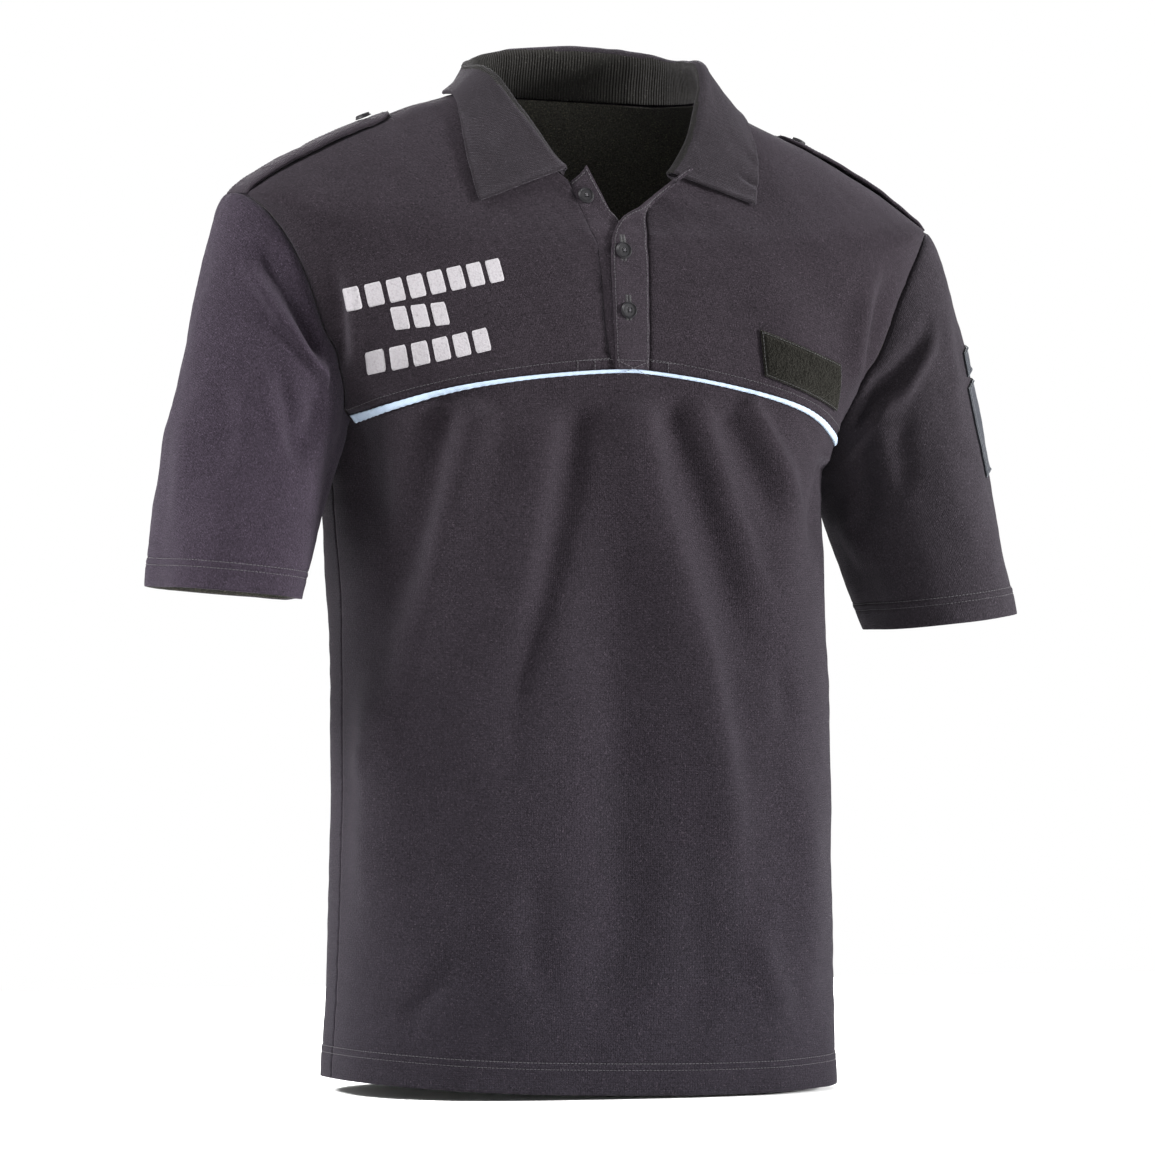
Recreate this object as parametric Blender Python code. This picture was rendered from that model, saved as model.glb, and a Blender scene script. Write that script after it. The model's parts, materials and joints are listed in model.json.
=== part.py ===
"""A short-sleeved uniform polo shirt, filled out as if worn, as separate cut-and-sewn pieces.

Metres, +Z up. +X is the wearer's left, the front faces -Y, and the origin is the middle of the
neck at the height of the side neck points. The body is one surface: rings stacked by "level",
from the hem (0) to the neck (5), and an angle round each ring, where 0 is the wearer's left side,
-90 degrees the centre front and 90 degrees the centre back. Every panel is a wall on it.
"""

import math

import bmesh
import bpy
import numpy as np

# Cloth
WALL = 0.0015
SEAM_GAP = 0.00025
LAYER_GAP = 0.0006
# How much lower the wearer's left side hangs than the right, per metre across
SIDE_DROP = 0.038

# Rings of the body, one row for each: level, half width, half depth, middle (y),
# and the height at the sides, at the centre front and at the centre back.
RING_COLUMNS = ("level", "half_width", "half_depth", "middle", "side", "front", "back")
RINGS = np.array([
    (0.0, 0.1900, 0.131, 0.014, -0.709, -0.7145, -0.714),
    (1.0, 0.1835, 0.128, 0.006, -0.490, -0.490, -0.490),
    (2.0, 0.1875, 0.131, 0.026, -0.262, -0.262, -0.262),
    (3.0, 0.2350, 0.127, 0.024, -0.172, -0.180, -0.165),
    (4.0, 0.2650, 0.108, 0.012, -0.0795, -0.107, -0.069),
    (5.0, 0.0880, 0.080, 0.000, 0.004, -0.072, 0.006),
])
RING_POWER = 2.5
ARMPIT_LEVEL = 2.0
TIP_LEVEL = 4.0
NECK_LEVEL = 5.0
SHOULDER_RISE = 0.0085
# How much of the side drop the hem gives back, per metre across
HEM_LEVELLING = 0.020

# Armhole: half its opening front to back, on the rings between the armpit and the shoulder tip
ARMHOLE_HALF_DEPTH = 0.066
ARMHOLE_POWER = 2.3
ARMHOLE_STEPS = 10

# Chest seam, arched over the chest
SEAM_LEVEL_CENTRE = 2.76
SEAM_ARMHOLE_STEP = 2
SEAM_LEVEL_SIDE = ARMPIT_LEVEL + 1 - math.cos(math.pi * SEAM_ARMHOLE_STEP / ARMHOLE_STEPS)
SEAM_ARCH_POWER = 1.4

# Front opening: across (x) at each height down the front, for the line where each placket strip
# is sewn to its yoke and for its free edge.
PLACKET_COLUMNS = ("height", "under_seam", "under_edge", "over_edge", "over_seam")
PLACKET = np.array([
    (-0.200, -0.0150, 0.0040, -0.0145, 0.0114),
    (-0.168, -0.0205, 0.0040, -0.0155, 0.0118),
    (-0.126, -0.0225, 0.0030, -0.0162, 0.0126),
    (-0.104, -0.0260, 0.0010, -0.0162, 0.0134),
    (-0.088, -0.0315, -0.0050, -0.0050, 0.0142),
    (-0.078, -0.0355, -0.0110, 0.0070, 0.0170),
    (-0.064, -0.0430, -0.0190, 0.0290, 0.0360),
])
PLACKET_WALL = 0.0019
# How far the button strip's free top corner stands up past the neckline
UNDER_CORNER_RISE = 0.008
# How far each strip's outer face stands off the body: at its seam, at its free edge
UNDER_LIFTS = (-0.0003, -0.0016)
OVER_LIFTS = (0.0007, 0.0026)

# Sleeves
SLEEVE_MIDDLE = (0.2765, -0.004, -0.3665)
SLEEVE_HALF_WIDTH = 0.0535
SLEEVE_HALF_DEPTH = 0.070
SLEEVE_LEAN = math.radians(6.0)
SLEEVE_LEAN_DIFFERENCE = math.radians(3.0)
SLEEVE_CAP_BULGE = 0.0215
SLEEVE_STEPS = 10

# Collar: a flat rib strip, its stand folded over into the fall
STAND_SIDE = 0.0205
STAND_BACK = 0.0340
STAND_TILT = 0.068
STAND_END = 0.005
FALL_LEVEL = 4.875
COLLAR_POINT = (0.106, -0.078)
COLLAR_POINT_TILT = 0.040
COLLAR_END = 0.043
COLLAR_WALL = 0.0018
COLLAR_STEPS = 28
COLLAR_LIFT = 0.0030
COLLAR_BASE = 0.0014
# Rows up the stand, over the fold and down: out from the neck, and height as a share of the stand
STAND = np.array([
    (-0.0012, 0.00),
    (-0.0030, 0.35),
    (-0.0065, 0.72),
    (-0.0080, 0.93),
    (-0.0070, 1.04),
    (-0.0045, 1.09),
    (-0.0020, 1.04),
])
FALL_SHARES = (0.16, 0.36, 0.56, 0.78, 1.0)
# Powers that keep the upper fall close to the neck and hold its height
FALL_HUG = 1.8
FALL_TUCK = 0.0045
SHOULDER_PLACE = 0.55
COLLAR_EDGE_BOW = 0.005

# Trim
PIPING_WIDTH = 0.0042
PIPING_DROP = 0.0004
PIPING_WALL = 0.0018
PIPING_END_ANGLE = 0.02
# Height that the front gains over one level near the chest seam
RISE_PER_LEVEL = 0.082
STRAP_OUTER = 0.2620
STRAP_INNER = 0.1500
STRAP_HALF_WIDTH = 0.0235
STRAP_WALL = 0.0026
STRAP_BUTTON_X = 0.1660
# Hook-and-loop panel on the left chest, as x and z: a corner, and its lower and inner sides
PANEL_CORNER = (0.1015, -0.1960)
PANEL_ALONG = (0.0719, -0.0210)
PANEL_UP = (-0.0035, 0.0330)
PANEL_WALL = 0.0020
PANEL_LIFT = 0.0016
# Front buttons: name, x, z and how far the placket under it stands off the body
BUTTONS = (
    ("button_top", -0.0290, -0.0730, 0.0009),
    ("button_middle", -0.0070, -0.1120, 0.0023),
    ("button_bottom", -0.0045, -0.1545, 0.0022),
)
BUTTON_RADIUS = 0.0060
BUTTON_WALL = 0.0026
OVER_FLARE = 0.006
# Badge and tab on the left sleeve: turns round the arm, and parts of the way down it
BADGE_TURNS = (-0.52, 0.62)
BADGE_PARTS = (0.387, 0.630)
TAB_TURNS = (-0.20, 0.55)
TAB_PARTS = (0.300, 0.365)
BADGE_WALL = 0.0020

COTTON = (0.045, 0.038, 0.050)
RIB = (0.040, 0.036, 0.044)
LIGHT_BLUE = (0.60, 0.71, 0.83)
LOOP_PILE = (0.026, 0.025, 0.019)
BUTTON_BLACK = (0.030, 0.030, 0.034)
BADGE_GREY = (0.30, 0.33, 0.40)


def ring_values(level):
    """Each ring column at these levels, on a cubic through the rows up to the shoulder tip."""
    level = np.asarray(level, float)
    body = np.clip(level, 0.0, TIP_LEVEL)
    low = np.clip(np.floor(body).astype(int), 0, int(TIP_LEVEL) - 1)
    part = (body - low)[..., None]
    before = RINGS[np.maximum(low - 1, 0)]
    start = RINGS[low]
    end = RINGS[low + 1]
    after = RINGS[np.minimum(low + 2, int(TIP_LEVEL))]
    cubic = (
        2 * start
        + (end - before) * part
        + (2 * before - 5 * start + 4 * end - after) * part**2
        + (3 * start - before - 3 * end + after) * part**3
    ) / 2
    up = np.clip(level - TIP_LEVEL, 0.0, None)[..., None]
    rows = cubic + (RINGS[5] - RINGS[4]) * up
    return {name: rows[..., i] for i, name in enumerate(RING_COLUMNS)}


def signed_power(value, power):
    return np.sign(value) * np.abs(value) ** power


def drape(angle, level):
    """How far the broad folds stand off the smooth form: troughs and ridges that fan down."""
    across = np.asarray(angle, float) + np.pi / 2
    fade = np.clip((3.1 - level) / 1.3, 0.0, 1.0) * np.clip(0.35 + level / 3.0, 0.0, 1.0)
    fans = (
        (0.62, 9.0, 0.0030),
        (-0.52, 7.0, 0.0034),
        (-0.12, 9.0, -0.0036),
        (1.05, 8.0, -0.0030),
        (2.35, 6.0, -0.0040),
        (3.05, 6.0, 0.0040),
        (3.80, 6.0, -0.0036),
    )
    total = np.zeros(np.broadcast(across, level).shape)
    for place, sharpness, height in fans:
        centre = place * (1.18 - 0.09 * level)
        away = np.angle(np.exp(1j * (across - centre)))
        total = total + height * np.exp(-((away * sharpness) ** 2) / 2)
    return total * fade


def body(angle, level):
    """A point of the body for each angle and level, before the side drop."""
    angle = np.asarray(angle, float)
    ring = ring_values(level)
    power = 2 / RING_POWER
    cosine = signed_power(np.cos(angle), power)
    sine = signed_power(np.sin(angle), power)
    swell = 1 + drape(angle, level) / ring["half_depth"]
    x = ring["half_width"] * cosine * (1 + (swell - 1) * 0.5)
    y = ring["middle"] + ring["half_depth"] * sine * swell
    turned = np.sin(angle) ** 2
    end = np.where(np.sin(angle) < 0, ring["front"], ring["back"])
    z = ring["side"] + (end - ring["side"]) * turned
    z = z + HEM_LEVELLING * x * np.clip(1 - np.asarray(level, float), 0.0, 1.0)
    up = np.clip(np.asarray(level, float) - TIP_LEVEL, 0.0, 1.0)
    z = z + SHOULDER_RISE * 4 * up * (1 - up) * np.cos(angle) ** 2
    return np.stack(np.broadcast_arrays(x, y, z), axis=-1)


def unit(vectors):
    return vectors / np.maximum(np.linalg.norm(vectors, axis=-1, keepdims=True), 1e-12)


def body_normal(angle, level):
    """The direction out of the body surface."""
    step = 1e-3
    lower = np.clip(np.asarray(level, float) - step, 0.0, NECK_LEVEL)
    upper = np.clip(np.asarray(level, float) + step, 0.0, NECK_LEVEL)
    round_ring = body(angle + step, level) - body(angle - step, level)
    up_body = body(angle, upper) - body(angle, lower)
    return unit(np.cross(round_ring, up_body))


def armhole_angle(level):
    """Half the angle that the armhole takes out of the ring at this level."""
    level = np.asarray(level, float)
    part = np.clip((level - ARMPIT_LEVEL) / (TIP_LEVEL - ARMPIT_LEVEL), 0.0, 1.0)
    reach = ARMHOLE_HALF_DEPTH * np.sqrt(np.clip(1 - np.abs(2 * part - 1) ** ARMHOLE_POWER, 0.0, 1.0))
    sine = (reach / ring_values(level)["half_depth"]) ** (RING_POWER / 2)
    return np.arcsin(np.clip(sine, 0.0, 0.99))


def front_level(x, z):
    """The level on the front where the surface passes through this x and z, by halving."""
    x, z = np.broadcast_arrays(np.asarray(x, float), np.asarray(z, float))
    low = np.zeros(x.shape)
    high = np.full(x.shape, NECK_LEVEL)
    for _ in range(40):
        level = (low + high) / 2
        below = body(front_angle(x, level), level)[..., 2] < z
        low = np.where(below, level, low)
        high = np.where(below, high, level)
    return (low + high) / 2


def front_angle(x, level):
    """The angle on the front at this x and level."""
    share = np.clip(np.asarray(x, float) / ring_values(level)["half_width"], -1.0, 1.0)
    return -np.arccos(signed_power(share, RING_POWER / 2))


def seam_level(angle):
    """The level of the chest seam at this angle."""
    aside = np.abs(np.cos(angle)) ** (2 / RING_POWER) / 0.97
    return SEAM_LEVEL_CENTRE + (SEAM_LEVEL_SIDE - SEAM_LEVEL_CENTRE) * aside**SEAM_ARCH_POWER


def placket_line(name, level):
    """Across, at this level, of a line of the front opening."""
    height = ring_values(level)["front"]
    column = PLACKET_COLUMNS.index(name)
    return np.interp(height, PLACKET[:, 0], PLACKET[:, column])


def eased(count):
    """Values from 0 to 1, closer together at both ends."""
    return (1 - np.cos(np.linspace(0, np.pi, count))) / 2


def border_shift(border, outward, inside, gap):
    """Moves of a border's points into their panel, square to the seam and along the surface."""
    across = unit(np.cross(outward, np.gradient(border, axis=0)))
    if ((inside - border) * across).sum() < 0:
        across = -across
    return gap * across


def drawn_in(points, flat, sides):
    """The grid with these borders (first or last row, left or right column) half a seam gap back.

    flat holds the surface's own normals.
    """
    moved = points.copy()
    if "first" in sides:
        moved[0] += border_shift(points[0], flat[0], points[1], SEAM_GAP)
    if "last" in sides:
        moved[-1] += border_shift(points[-1], flat[-1], points[-2], SEAM_GAP)
    if "left" in sides:
        moved[:, 0] += border_shift(points[:, 0], flat[:, 0], points[:, 1], SEAM_GAP)
    if "right" in sides:
        moved[:, -1] += border_shift(points[:, -1], flat[:, -1], points[:, -2], SEAM_GAP)
    return moved


def material(name, colour, roughness, metallic=0.0):
    made = bpy.data.materials.new(name)
    made.use_nodes = True
    shader = made.node_tree.nodes["Principled BSDF"]
    shader.inputs["Base Color"].default_value = (*colour, 1.0)
    shader.inputs["Roughness"].default_value = roughness
    shader.inputs["Metallic"].default_value = metallic
    made.diffuse_color = (*colour, 1.0)
    return made


def add_wall(name, outer, outward, thickness, finish, ring=False):
    """A closed wall between a grid of outer points and the same grid moved inwards.

    With ring, the last column joins the first, as on a sleeve.
    """
    rows, columns = outer.shape[:2]
    inner = outer - outward * np.asarray(thickness)[..., None]
    points = np.concatenate([outer.reshape(-1, 3), inner.reshape(-1, 3)])
    points[:, 2] -= SIDE_DROP * points[:, 0]
    half = rows * columns
    steps = columns if ring else columns - 1
    faces = []
    for i in range(rows - 1):
        for j in range(steps):
            a = i * columns + j
            b = i * columns + (j + 1) % columns
            faces.append((a, b, b + columns, a + columns))
            faces.append((half + b, half + a, half + a + columns, half + b + columns))
    last = (rows - 1) * columns
    for j in range(steps):
        following = (j + 1) % columns
        faces.append((j, half + j, half + following))
        faces.append((j, half + following, following))
        faces.append((last + j, last + following, half + last + following))
        faces.append((last + j, half + last + following, half + last + j))
    if not ring:
        for i in range(rows - 1):
            a = i * columns
            faces.append((a, a + columns, half + a + columns, half + a))
            b = a + columns - 1
            faces.append((b, half + b, half + b + columns, b + columns))
    return add_solid(name, points, faces, finish)


def add_solid(name, points, faces, finish):
    mesh = bpy.data.meshes.new(name)
    mesh.from_pydata([tuple(point) for point in points], [], faces)
    shape = bmesh.new()
    shape.from_mesh(mesh)
    bmesh.ops.remove_doubles(shape, verts=shape.verts, dist=1e-6)
    bmesh.ops.recalc_face_normals(shape, faces=shape.faces)
    shape.to_mesh(mesh)
    shape.free()
    mesh.shade_smooth()
    mesh.set_sharp_from_angle(angle=math.radians(40))
    mesh.materials.append(finish)
    made = bpy.data.objects.new(name, mesh)
    bpy.context.scene.collection.objects.link(made)
    return made


def armhole_loop(side, turn):
    """Body points and normals of one armhole; a turn of 0 is the tip, 90 degrees the front."""
    level = (TIP_LEVEL + ARMPIT_LEVEL) / 2 + (TIP_LEVEL - ARMPIT_LEVEL) / 2 * np.cos(turn)
    angle = -np.sign(np.round(np.sin(turn), 9)) * armhole_angle(level)
    if side < 0:
        angle = np.pi - angle
    return body(angle, level), body_normal(angle, level)


def sleeve(side, turn, part):
    """Sleeve points for turns round the arm and parts of the way from the armhole to the hem."""
    turn, part = np.broadcast_arrays(np.asarray(turn, float), np.asarray(part, float))
    top, _ = armhole_loop(side, turn)
    lean = SLEEVE_LEAN + side * SLEEVE_LEAN_DIFFERENCE
    across = np.array([side * math.cos(lean), 0.0, math.sin(lean)])
    forward = np.array([0.0, -1.0, 0.0])
    middle = np.array([side * SLEEVE_MIDDLE[0], SLEEVE_MIDDLE[1], SLEEVE_MIDDLE[2]])
    turn = turn[..., None]
    part = part[..., None]
    hem = middle + SLEEVE_HALF_WIDTH * np.cos(turn) * across
    hem = hem + SLEEVE_HALF_DEPTH * np.sin(turn) * forward
    swell = SLEEVE_CAP_BULGE * part**0.35 * (1 - part)
    outer_side = np.cos(turn / 2) ** 2 * np.array([side * 1.0, 0.0, 0.15])
    round_side = np.sin(turn) * forward * 0.45
    under = np.sin(turn / 2) ** 8 * np.array([side * -0.05, 0.0, 0.0])
    return top + (hem - top) * part + swell * (outer_side + round_side + under)


def sleeve_rings(side):
    """The sleeve as a grid of rings from the armhole to the hem, with the body's normals on it."""
    turn = np.linspace(0, 2 * np.pi, 2 * ARMHOLE_STEPS, endpoint=False)
    part = np.linspace(0, 1, SLEEVE_STEPS + 1)[:, None] ** 1.25
    return sleeve(side, turn[None, :], part), armhole_loop(side, turn)[1]


def grid_normal(points, side):
    """Directions out of a ring grid."""
    down = np.gradient(points, axis=0)
    following = np.roll(points, -1, axis=1) - np.roll(points, 1, axis=1)
    return unit(np.cross(following, down)) * side


def build_sleeve(side, name, finish):
    points, body_side = sleeve_rings(side)
    outward = grid_normal(points, side)
    sleeve_side = outward[0].copy()
    outward[0] = mitre(sleeve_side, body_side)
    around = np.roll(points[0], -1, axis=0) - np.roll(points[0], 1, axis=0)
    into = unit(np.cross(sleeve_side, around))
    into = into * np.sign(((points[1] - points[0]) * into).sum())
    points[0] += SEAM_GAP * into
    add_wall(name, points, outward, WALL, finish, ring=True)


def mitre(first, second):
    """The direction that two walls share where they meet, as long as their mitre needs."""
    shared = unit(first + second)
    return shared / np.clip((shared * second).sum(axis=-1), 0.6, 1.0)[:, None]


def armhole_levels():
    """Levels of the armhole's points from the armpit up to the shoulder tip."""
    return ARMPIT_LEVEL + (TIP_LEVEL - ARMPIT_LEVEL) * eased(ARMHOLE_STEPS + 1)


def armhole_border(side, back):
    """Shared directions up one half of an armhole, from the armpit to the shoulder tip."""
    points, body_side = sleeve_rings(side)
    shared = mitre(grid_normal(points, side)[0], body_side)
    half = ARMHOLE_STEPS + 1
    front_down = shared[:half]
    back_up = np.concatenate([shared[half - 1 :], shared[:1]])
    return back_up if back else front_down[::-1]


def build_back(finish):
    lower = np.linspace(0.0, ARMPIT_LEVEL, 9)[:-1]
    upper = np.linspace(TIP_LEVEL, NECK_LEVEL, 6)[1:]
    level = np.concatenate([lower, armhole_levels(), upper])[:, None]
    spread = np.linspace(-1, 1, 21)[None, :]
    angle = np.pi / 2 - spread * (np.pi / 2 - armhole_angle(level))
    flat = body_normal(angle, level)
    outward = flat.copy()
    first = lower.size
    last = first + ARMHOLE_STEPS + 1
    outward[first:last, 0] = armhole_border(-1, True)
    outward[first:last, -1] = armhole_border(1, True)
    points = drawn_in(body(angle, level), flat, ("left", "right"))
    add_wall("back_panel", points, outward, WALL, finish)


def seam_columns():
    """Angles along the chest seam: the right yoke's, the placket's and the left yoke's."""
    edge = armhole_angle(SEAM_LEVEL_SIDE)
    right_inner = front_angle(placket_line("under_seam", SEAM_LEVEL_CENTRE), SEAM_LEVEL_CENTRE)
    left_inner = front_angle(placket_line("over_seam", SEAM_LEVEL_CENTRE), SEAM_LEVEL_CENTRE)
    right = np.linspace(-np.pi + edge, right_inner, 13)
    middle = np.linspace(right_inner, left_inner, 4)[1:-1]
    left = np.linspace(left_inner, -edge, 13)
    return right, middle, left


def side_levels():
    """Levels of the armhole points that lie below and above the chest seam at the side."""
    every = armhole_levels()
    return every[:SEAM_ARMHOLE_STEP], every[SEAM_ARMHOLE_STEP + 1 :]


def border_at(level, side, back=False):
    """The shared armhole directions at any levels, between the loop's own points."""
    known = armhole_levels()
    table = armhole_border(side, back)
    return np.stack([np.interp(level, known, table[:, i]) for i in range(3)], axis=-1)


def build_front(finish):
    right, middle, left = seam_columns()
    top_angle = np.concatenate([right, middle, left])
    top_level = seam_level(top_angle)
    top_level[0] = top_level[-1] = SEAM_LEVEL_SIDE
    spread = (top_angle + np.pi / 2) / (np.pi / 2 - armhole_angle(top_level))
    below, _ = side_levels()
    under = np.concatenate([np.linspace(0.0, ARMPIT_LEVEL, 9)[:-1], below])
    part = np.concatenate([under, [SEAM_LEVEL_SIDE]])
    share = np.clip((part - 1.0) / (SEAM_LEVEL_SIDE - 1.0), 0.0, 1.0)[:, None]
    level = part[:, None] + share * (top_level - SEAM_LEVEL_SIDE)[None, :]
    angle = -np.pi / 2 + spread[None, :] * (np.pi / 2 - armhole_angle(level))
    flat = body_normal(angle, level)
    outward = flat.copy()
    upper = part >= ARMPIT_LEVEL
    outward[upper, 0] = border_at(level[upper, 0], -1)
    outward[upper, -1] = border_at(level[upper, -1], 1)
    points = drawn_in(body(angle, level), flat, ("last", "left", "right"))
    add_wall("front_panel", points, outward, WALL, finish)


def yoke_levels(bottom_level):
    """Rows of levels above the chest seam, a column for each level on the seam, up to the neck."""
    _, above = side_levels()
    steps = np.concatenate([[SEAM_LEVEL_SIDE], above, np.linspace(TIP_LEVEL, NECK_LEVEL, 7)[1:]])
    share = (NECK_LEVEL - steps) / (NECK_LEVEL - SEAM_LEVEL_SIDE)
    return steps[:, None] + share[:, None] * (bottom_level - SEAM_LEVEL_SIDE)[None, :]


def build_yoke(side, name, finish):
    right, _, left = seam_columns()
    bottom_angle = right if side < 0 else left[::-1]
    line = "under_seam" if side < 0 else "over_seam"
    bottom_level = seam_level(bottom_angle)
    bottom_level[0] = SEAM_LEVEL_SIDE
    level = yoke_levels(bottom_level)
    outer = armhole_angle(level)
    inner = front_angle(placket_line(line, level), level)
    outer = outer - np.pi if side < 0 else -outer
    along = (bottom_angle - outer[0]) / (inner[0] - outer[0])
    angle = outer + (inner - outer) * along[None, :]
    flat = body_normal(angle, level)
    outward = flat.copy()
    sewn = level[:, 0] <= TIP_LEVEL
    outward[sewn, 0] = border_at(level[sewn, 0], side)
    points = drawn_in(body(angle, level), flat, ("first", "left", "right"))
    # Columns run towards +X on both sides, so both panels' twisted faces split the same way
    order = slice(None) if side < 0 else slice(None, None, -1)
    add_wall(name, points[:, order], outward[:, order], WALL, finish)


def build_placket(name, sewn, free, lifts, flare, rise, finish):
    """One strip of the front opening, with its rows at the levels of the yoke it is sewn to."""
    share = np.linspace(0, 1, 4)
    lowest = placket_line(sewn, SEAM_LEVEL_CENTRE)
    lowest = lowest + (placket_line(free, SEAM_LEVEL_CENTRE) - lowest) * share
    level = yoke_levels(seam_level(front_angle(lowest, SEAM_LEVEL_CENTRE)))
    start = placket_line(sewn, level)
    across = start + (placket_line(free, level) - start) * share
    angle = front_angle(across, level)
    outward = body_normal(angle, level)
    lift = lifts[0] + (lifts[1] - lifts[0]) * share
    lift = lift + flare * share * np.clip((level - 4.2) / 0.8, 0.0, 1.0) ** 2
    points = body(angle, level) + outward * lift[..., None]
    points[..., 2] += rise * share * np.clip((level - 4.75) / 0.25, 0.0, 1.0)
    points = drawn_in(points, outward, ("first", "left"))
    add_wall(name, points, outward, PLACKET_WALL, finish)


def collar_edge(turn):
    """Angle and level on the body under the fall's edge, for places from end to end (-1 to 1).

    Round the back the edge keeps one level; past the shoulder it runs straight to the point.
    """
    away = np.abs(turn)
    back_angle = np.pi / 2 * np.clip(1 - away / SHOULDER_PLACE, 0.0, 1.0)
    start = body(0.0, FALL_LEVEL)
    share = np.clip((away - SHOULDER_PLACE) / (1 - SHOULDER_PLACE), 0.0, 1.0)
    x = start[0] + (COLLAR_POINT[0] - start[0]) * share + COLLAR_EDGE_BOW * np.sin(np.pi * share)
    point = COLLAR_POINT[1] + COLLAR_POINT_TILT * COLLAR_POINT[0] * np.sign(turn)
    z = start[2] + (point - start[2]) * share
    front = front_level(x, z)
    level = np.where(share > 0, front, FALL_LEVEL)
    angle = np.where(share > 0, front_angle(x, front), back_angle)
    return np.where(turn < 0, np.pi - angle, angle), level


def build_collar(finish):
    """The strip from one front end round the back to the other: up the stand and down the fall."""
    turn = np.linspace(-1, 1, COLLAR_STEPS + 1)
    end_angle = front_angle(COLLAR_END, NECK_LEVEL)
    seam_angle = np.pi / 2 - (np.pi / 2 - end_angle) * np.abs(turn)
    seam_angle = np.where(turn < 0, np.pi - seam_angle, seam_angle)
    seam = body(seam_angle, NECK_LEVEL)
    out = unit(seam * np.array([1.0, 1.0, 0.0]))
    backness = np.clip(np.sin(seam_angle), 0.0, 1.0)
    toward_end = np.clip((1 - np.abs(turn)) / 0.42, 0.0, 1.0)
    stand = STAND_END + (STAND_SIDE - STAND_END) * np.sin(toward_end * np.pi / 2)
    stand = stand + (STAND_BACK - STAND_SIDE) * backness**1.5
    stand = stand + STAND_TILT * seam[:, 0] * np.sin(toward_end * np.pi / 2)
    up = np.array([0.0, 0.0, 1.0])
    rows = [seam + out * place + up * (COLLAR_BASE + stand * height)[:, None] for place, height in STAND]
    edge_angle, edge_level = collar_edge(turn)
    for share in FALL_SHARES:
        spread = share**FALL_HUG
        angle = seam_angle + (edge_angle - seam_angle) * spread
        level = NECK_LEVEL + (edge_level - NECK_LEVEL) * spread
        outward = body_normal(angle, level)
        rise = stand * (1 - share**1.1)
        lift = COLLAR_LIFT + 0.0022 * (1 - share)
        tuck = out * FALL_TUCK * (1 - share) ** 1.5
        rows.append(body(angle, level) + outward * lift + up * rise[:, None] - tuck)
    points = np.stack(rows)
    add_wall("collar", points, grid_open_normal(points), COLLAR_WALL, finish)


def grid_open_normal(points):
    rows = np.gradient(points, axis=0)
    columns = np.gradient(points, axis=1)
    return unit(np.cross(rows, columns))


def add_patch(name, angle, level, lift, thickness, finish):
    """A flat piece that lies on the body, its underside just clear of the cloth."""
    outward = body_normal(angle, level)
    outer = body(angle, level) + outward * (lift + thickness)
    add_wall(name, outer, outward, thickness, finish)


def build_piping(finish):
    right, middle, left = seam_columns()
    angle = np.concatenate([right, middle, left])
    margin = PIPING_END_ANGLE
    angle = angle[0] + margin + (angle - angle[0]) * (1 - 2 * margin / (angle[-1] - angle[0]))
    down = np.linspace(PIPING_DROP, PIPING_DROP + PIPING_WIDTH, 3)[:, None] / RISE_PER_LEVEL
    level = seam_level(angle)[None, :] - down
    angle = np.broadcast_to(angle, level.shape)
    add_patch("piping", angle, level, LAYER_GAP, PIPING_WALL, finish)


def build_name_panel(finish):
    along = np.linspace(0, 1, 9)[None, :]
    up = np.linspace(0, 1, 4)[:, None]
    x = PANEL_CORNER[0] + PANEL_ALONG[0] * along + PANEL_UP[0] * up
    z = PANEL_CORNER[1] + PANEL_ALONG[1] * along + PANEL_UP[1] * up
    level = front_level(x, z)
    add_patch("name_panel", front_angle(x, level), level, PANEL_LIFT, PANEL_WALL, finish)


def strap_place(side, x, y):
    """Angle and level on the shoulder at a distance across and a distance front to back."""
    level = TIP_LEVEL + (RINGS[4, 1] - x) / (RINGS[4, 1] - RINGS[5, 1])
    share = signed_power(y / ring_values(level)["half_depth"], RING_POWER / 2)
    angle = np.arcsin(share)
    return (angle if side > 0 else np.pi - angle), level


def build_epaulette(side, name, finish):
    """A strap along the shoulder, square at the armhole and rounded at its buttoned end."""
    along = np.linspace(0, 1, 9) ** 0.8
    x = STRAP_OUTER + (STRAP_INNER - STRAP_OUTER) * along
    to_end = np.clip((x - STRAP_INNER) / STRAP_HALF_WIDTH, 0.0, 1.0)
    half = STRAP_HALF_WIDTH * (0.28 + 0.72 * np.sqrt(np.clip(1 - (1 - to_end) ** 2, 0.0, 1.0)))
    y = half[:, None] * np.linspace(-1, 1, 7)[None, :]
    angle, level = strap_place(side, x[:, None] + 0 * y, y)
    add_patch(name, angle, level, LAYER_GAP, STRAP_WALL, finish)


def build_button(name, place, outward, radius, thickness, finish):
    """A turned button: a flat back, a rounded rim and a dished middle, on its outward axis."""
    profile = (
        (0.90, 0.00),
        (1.00, 0.30),
        (0.98, 0.75),
        (0.84, 1.00),
        (0.68, 0.85),
        (0.56, 0.50),
    )
    first = unit(np.cross(outward, np.array([0.0, 0.3, 1.0])))
    second = np.cross(outward, first)
    turn = np.linspace(0, 2 * np.pi, 20, endpoint=False)[:, None]
    circle = np.cos(turn) * first + np.sin(turn) * second
    rings = [place + circle * radius * out + outward * thickness * up for out, up in profile]
    count = turn.size
    points = np.concatenate(rings)
    faces = []
    for i in range(len(profile) - 1):
        for j in range(count):
            k = (j + 1) % count
            a = i * count
            faces.append((a + j, a + k, a + count + k, a + count + j))
    faces.append(tuple(range(count)))
    faces.append(tuple(range(len(points) - count, len(points))))
    points = points.copy()
    points[:, 2] -= SIDE_DROP * points[:, 0]
    add_solid(name, points, faces, finish)


def build_front_buttons(finish):
    for name, x, z, lift in BUTTONS:
        level = front_level(x, z)
        angle = front_angle(x, level)
        outward = body_normal(angle, level)
        place = body(angle, level) + outward * (lift + LAYER_GAP)
        build_button(name, place, outward, BUTTON_RADIUS, BUTTON_WALL, finish)


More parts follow.
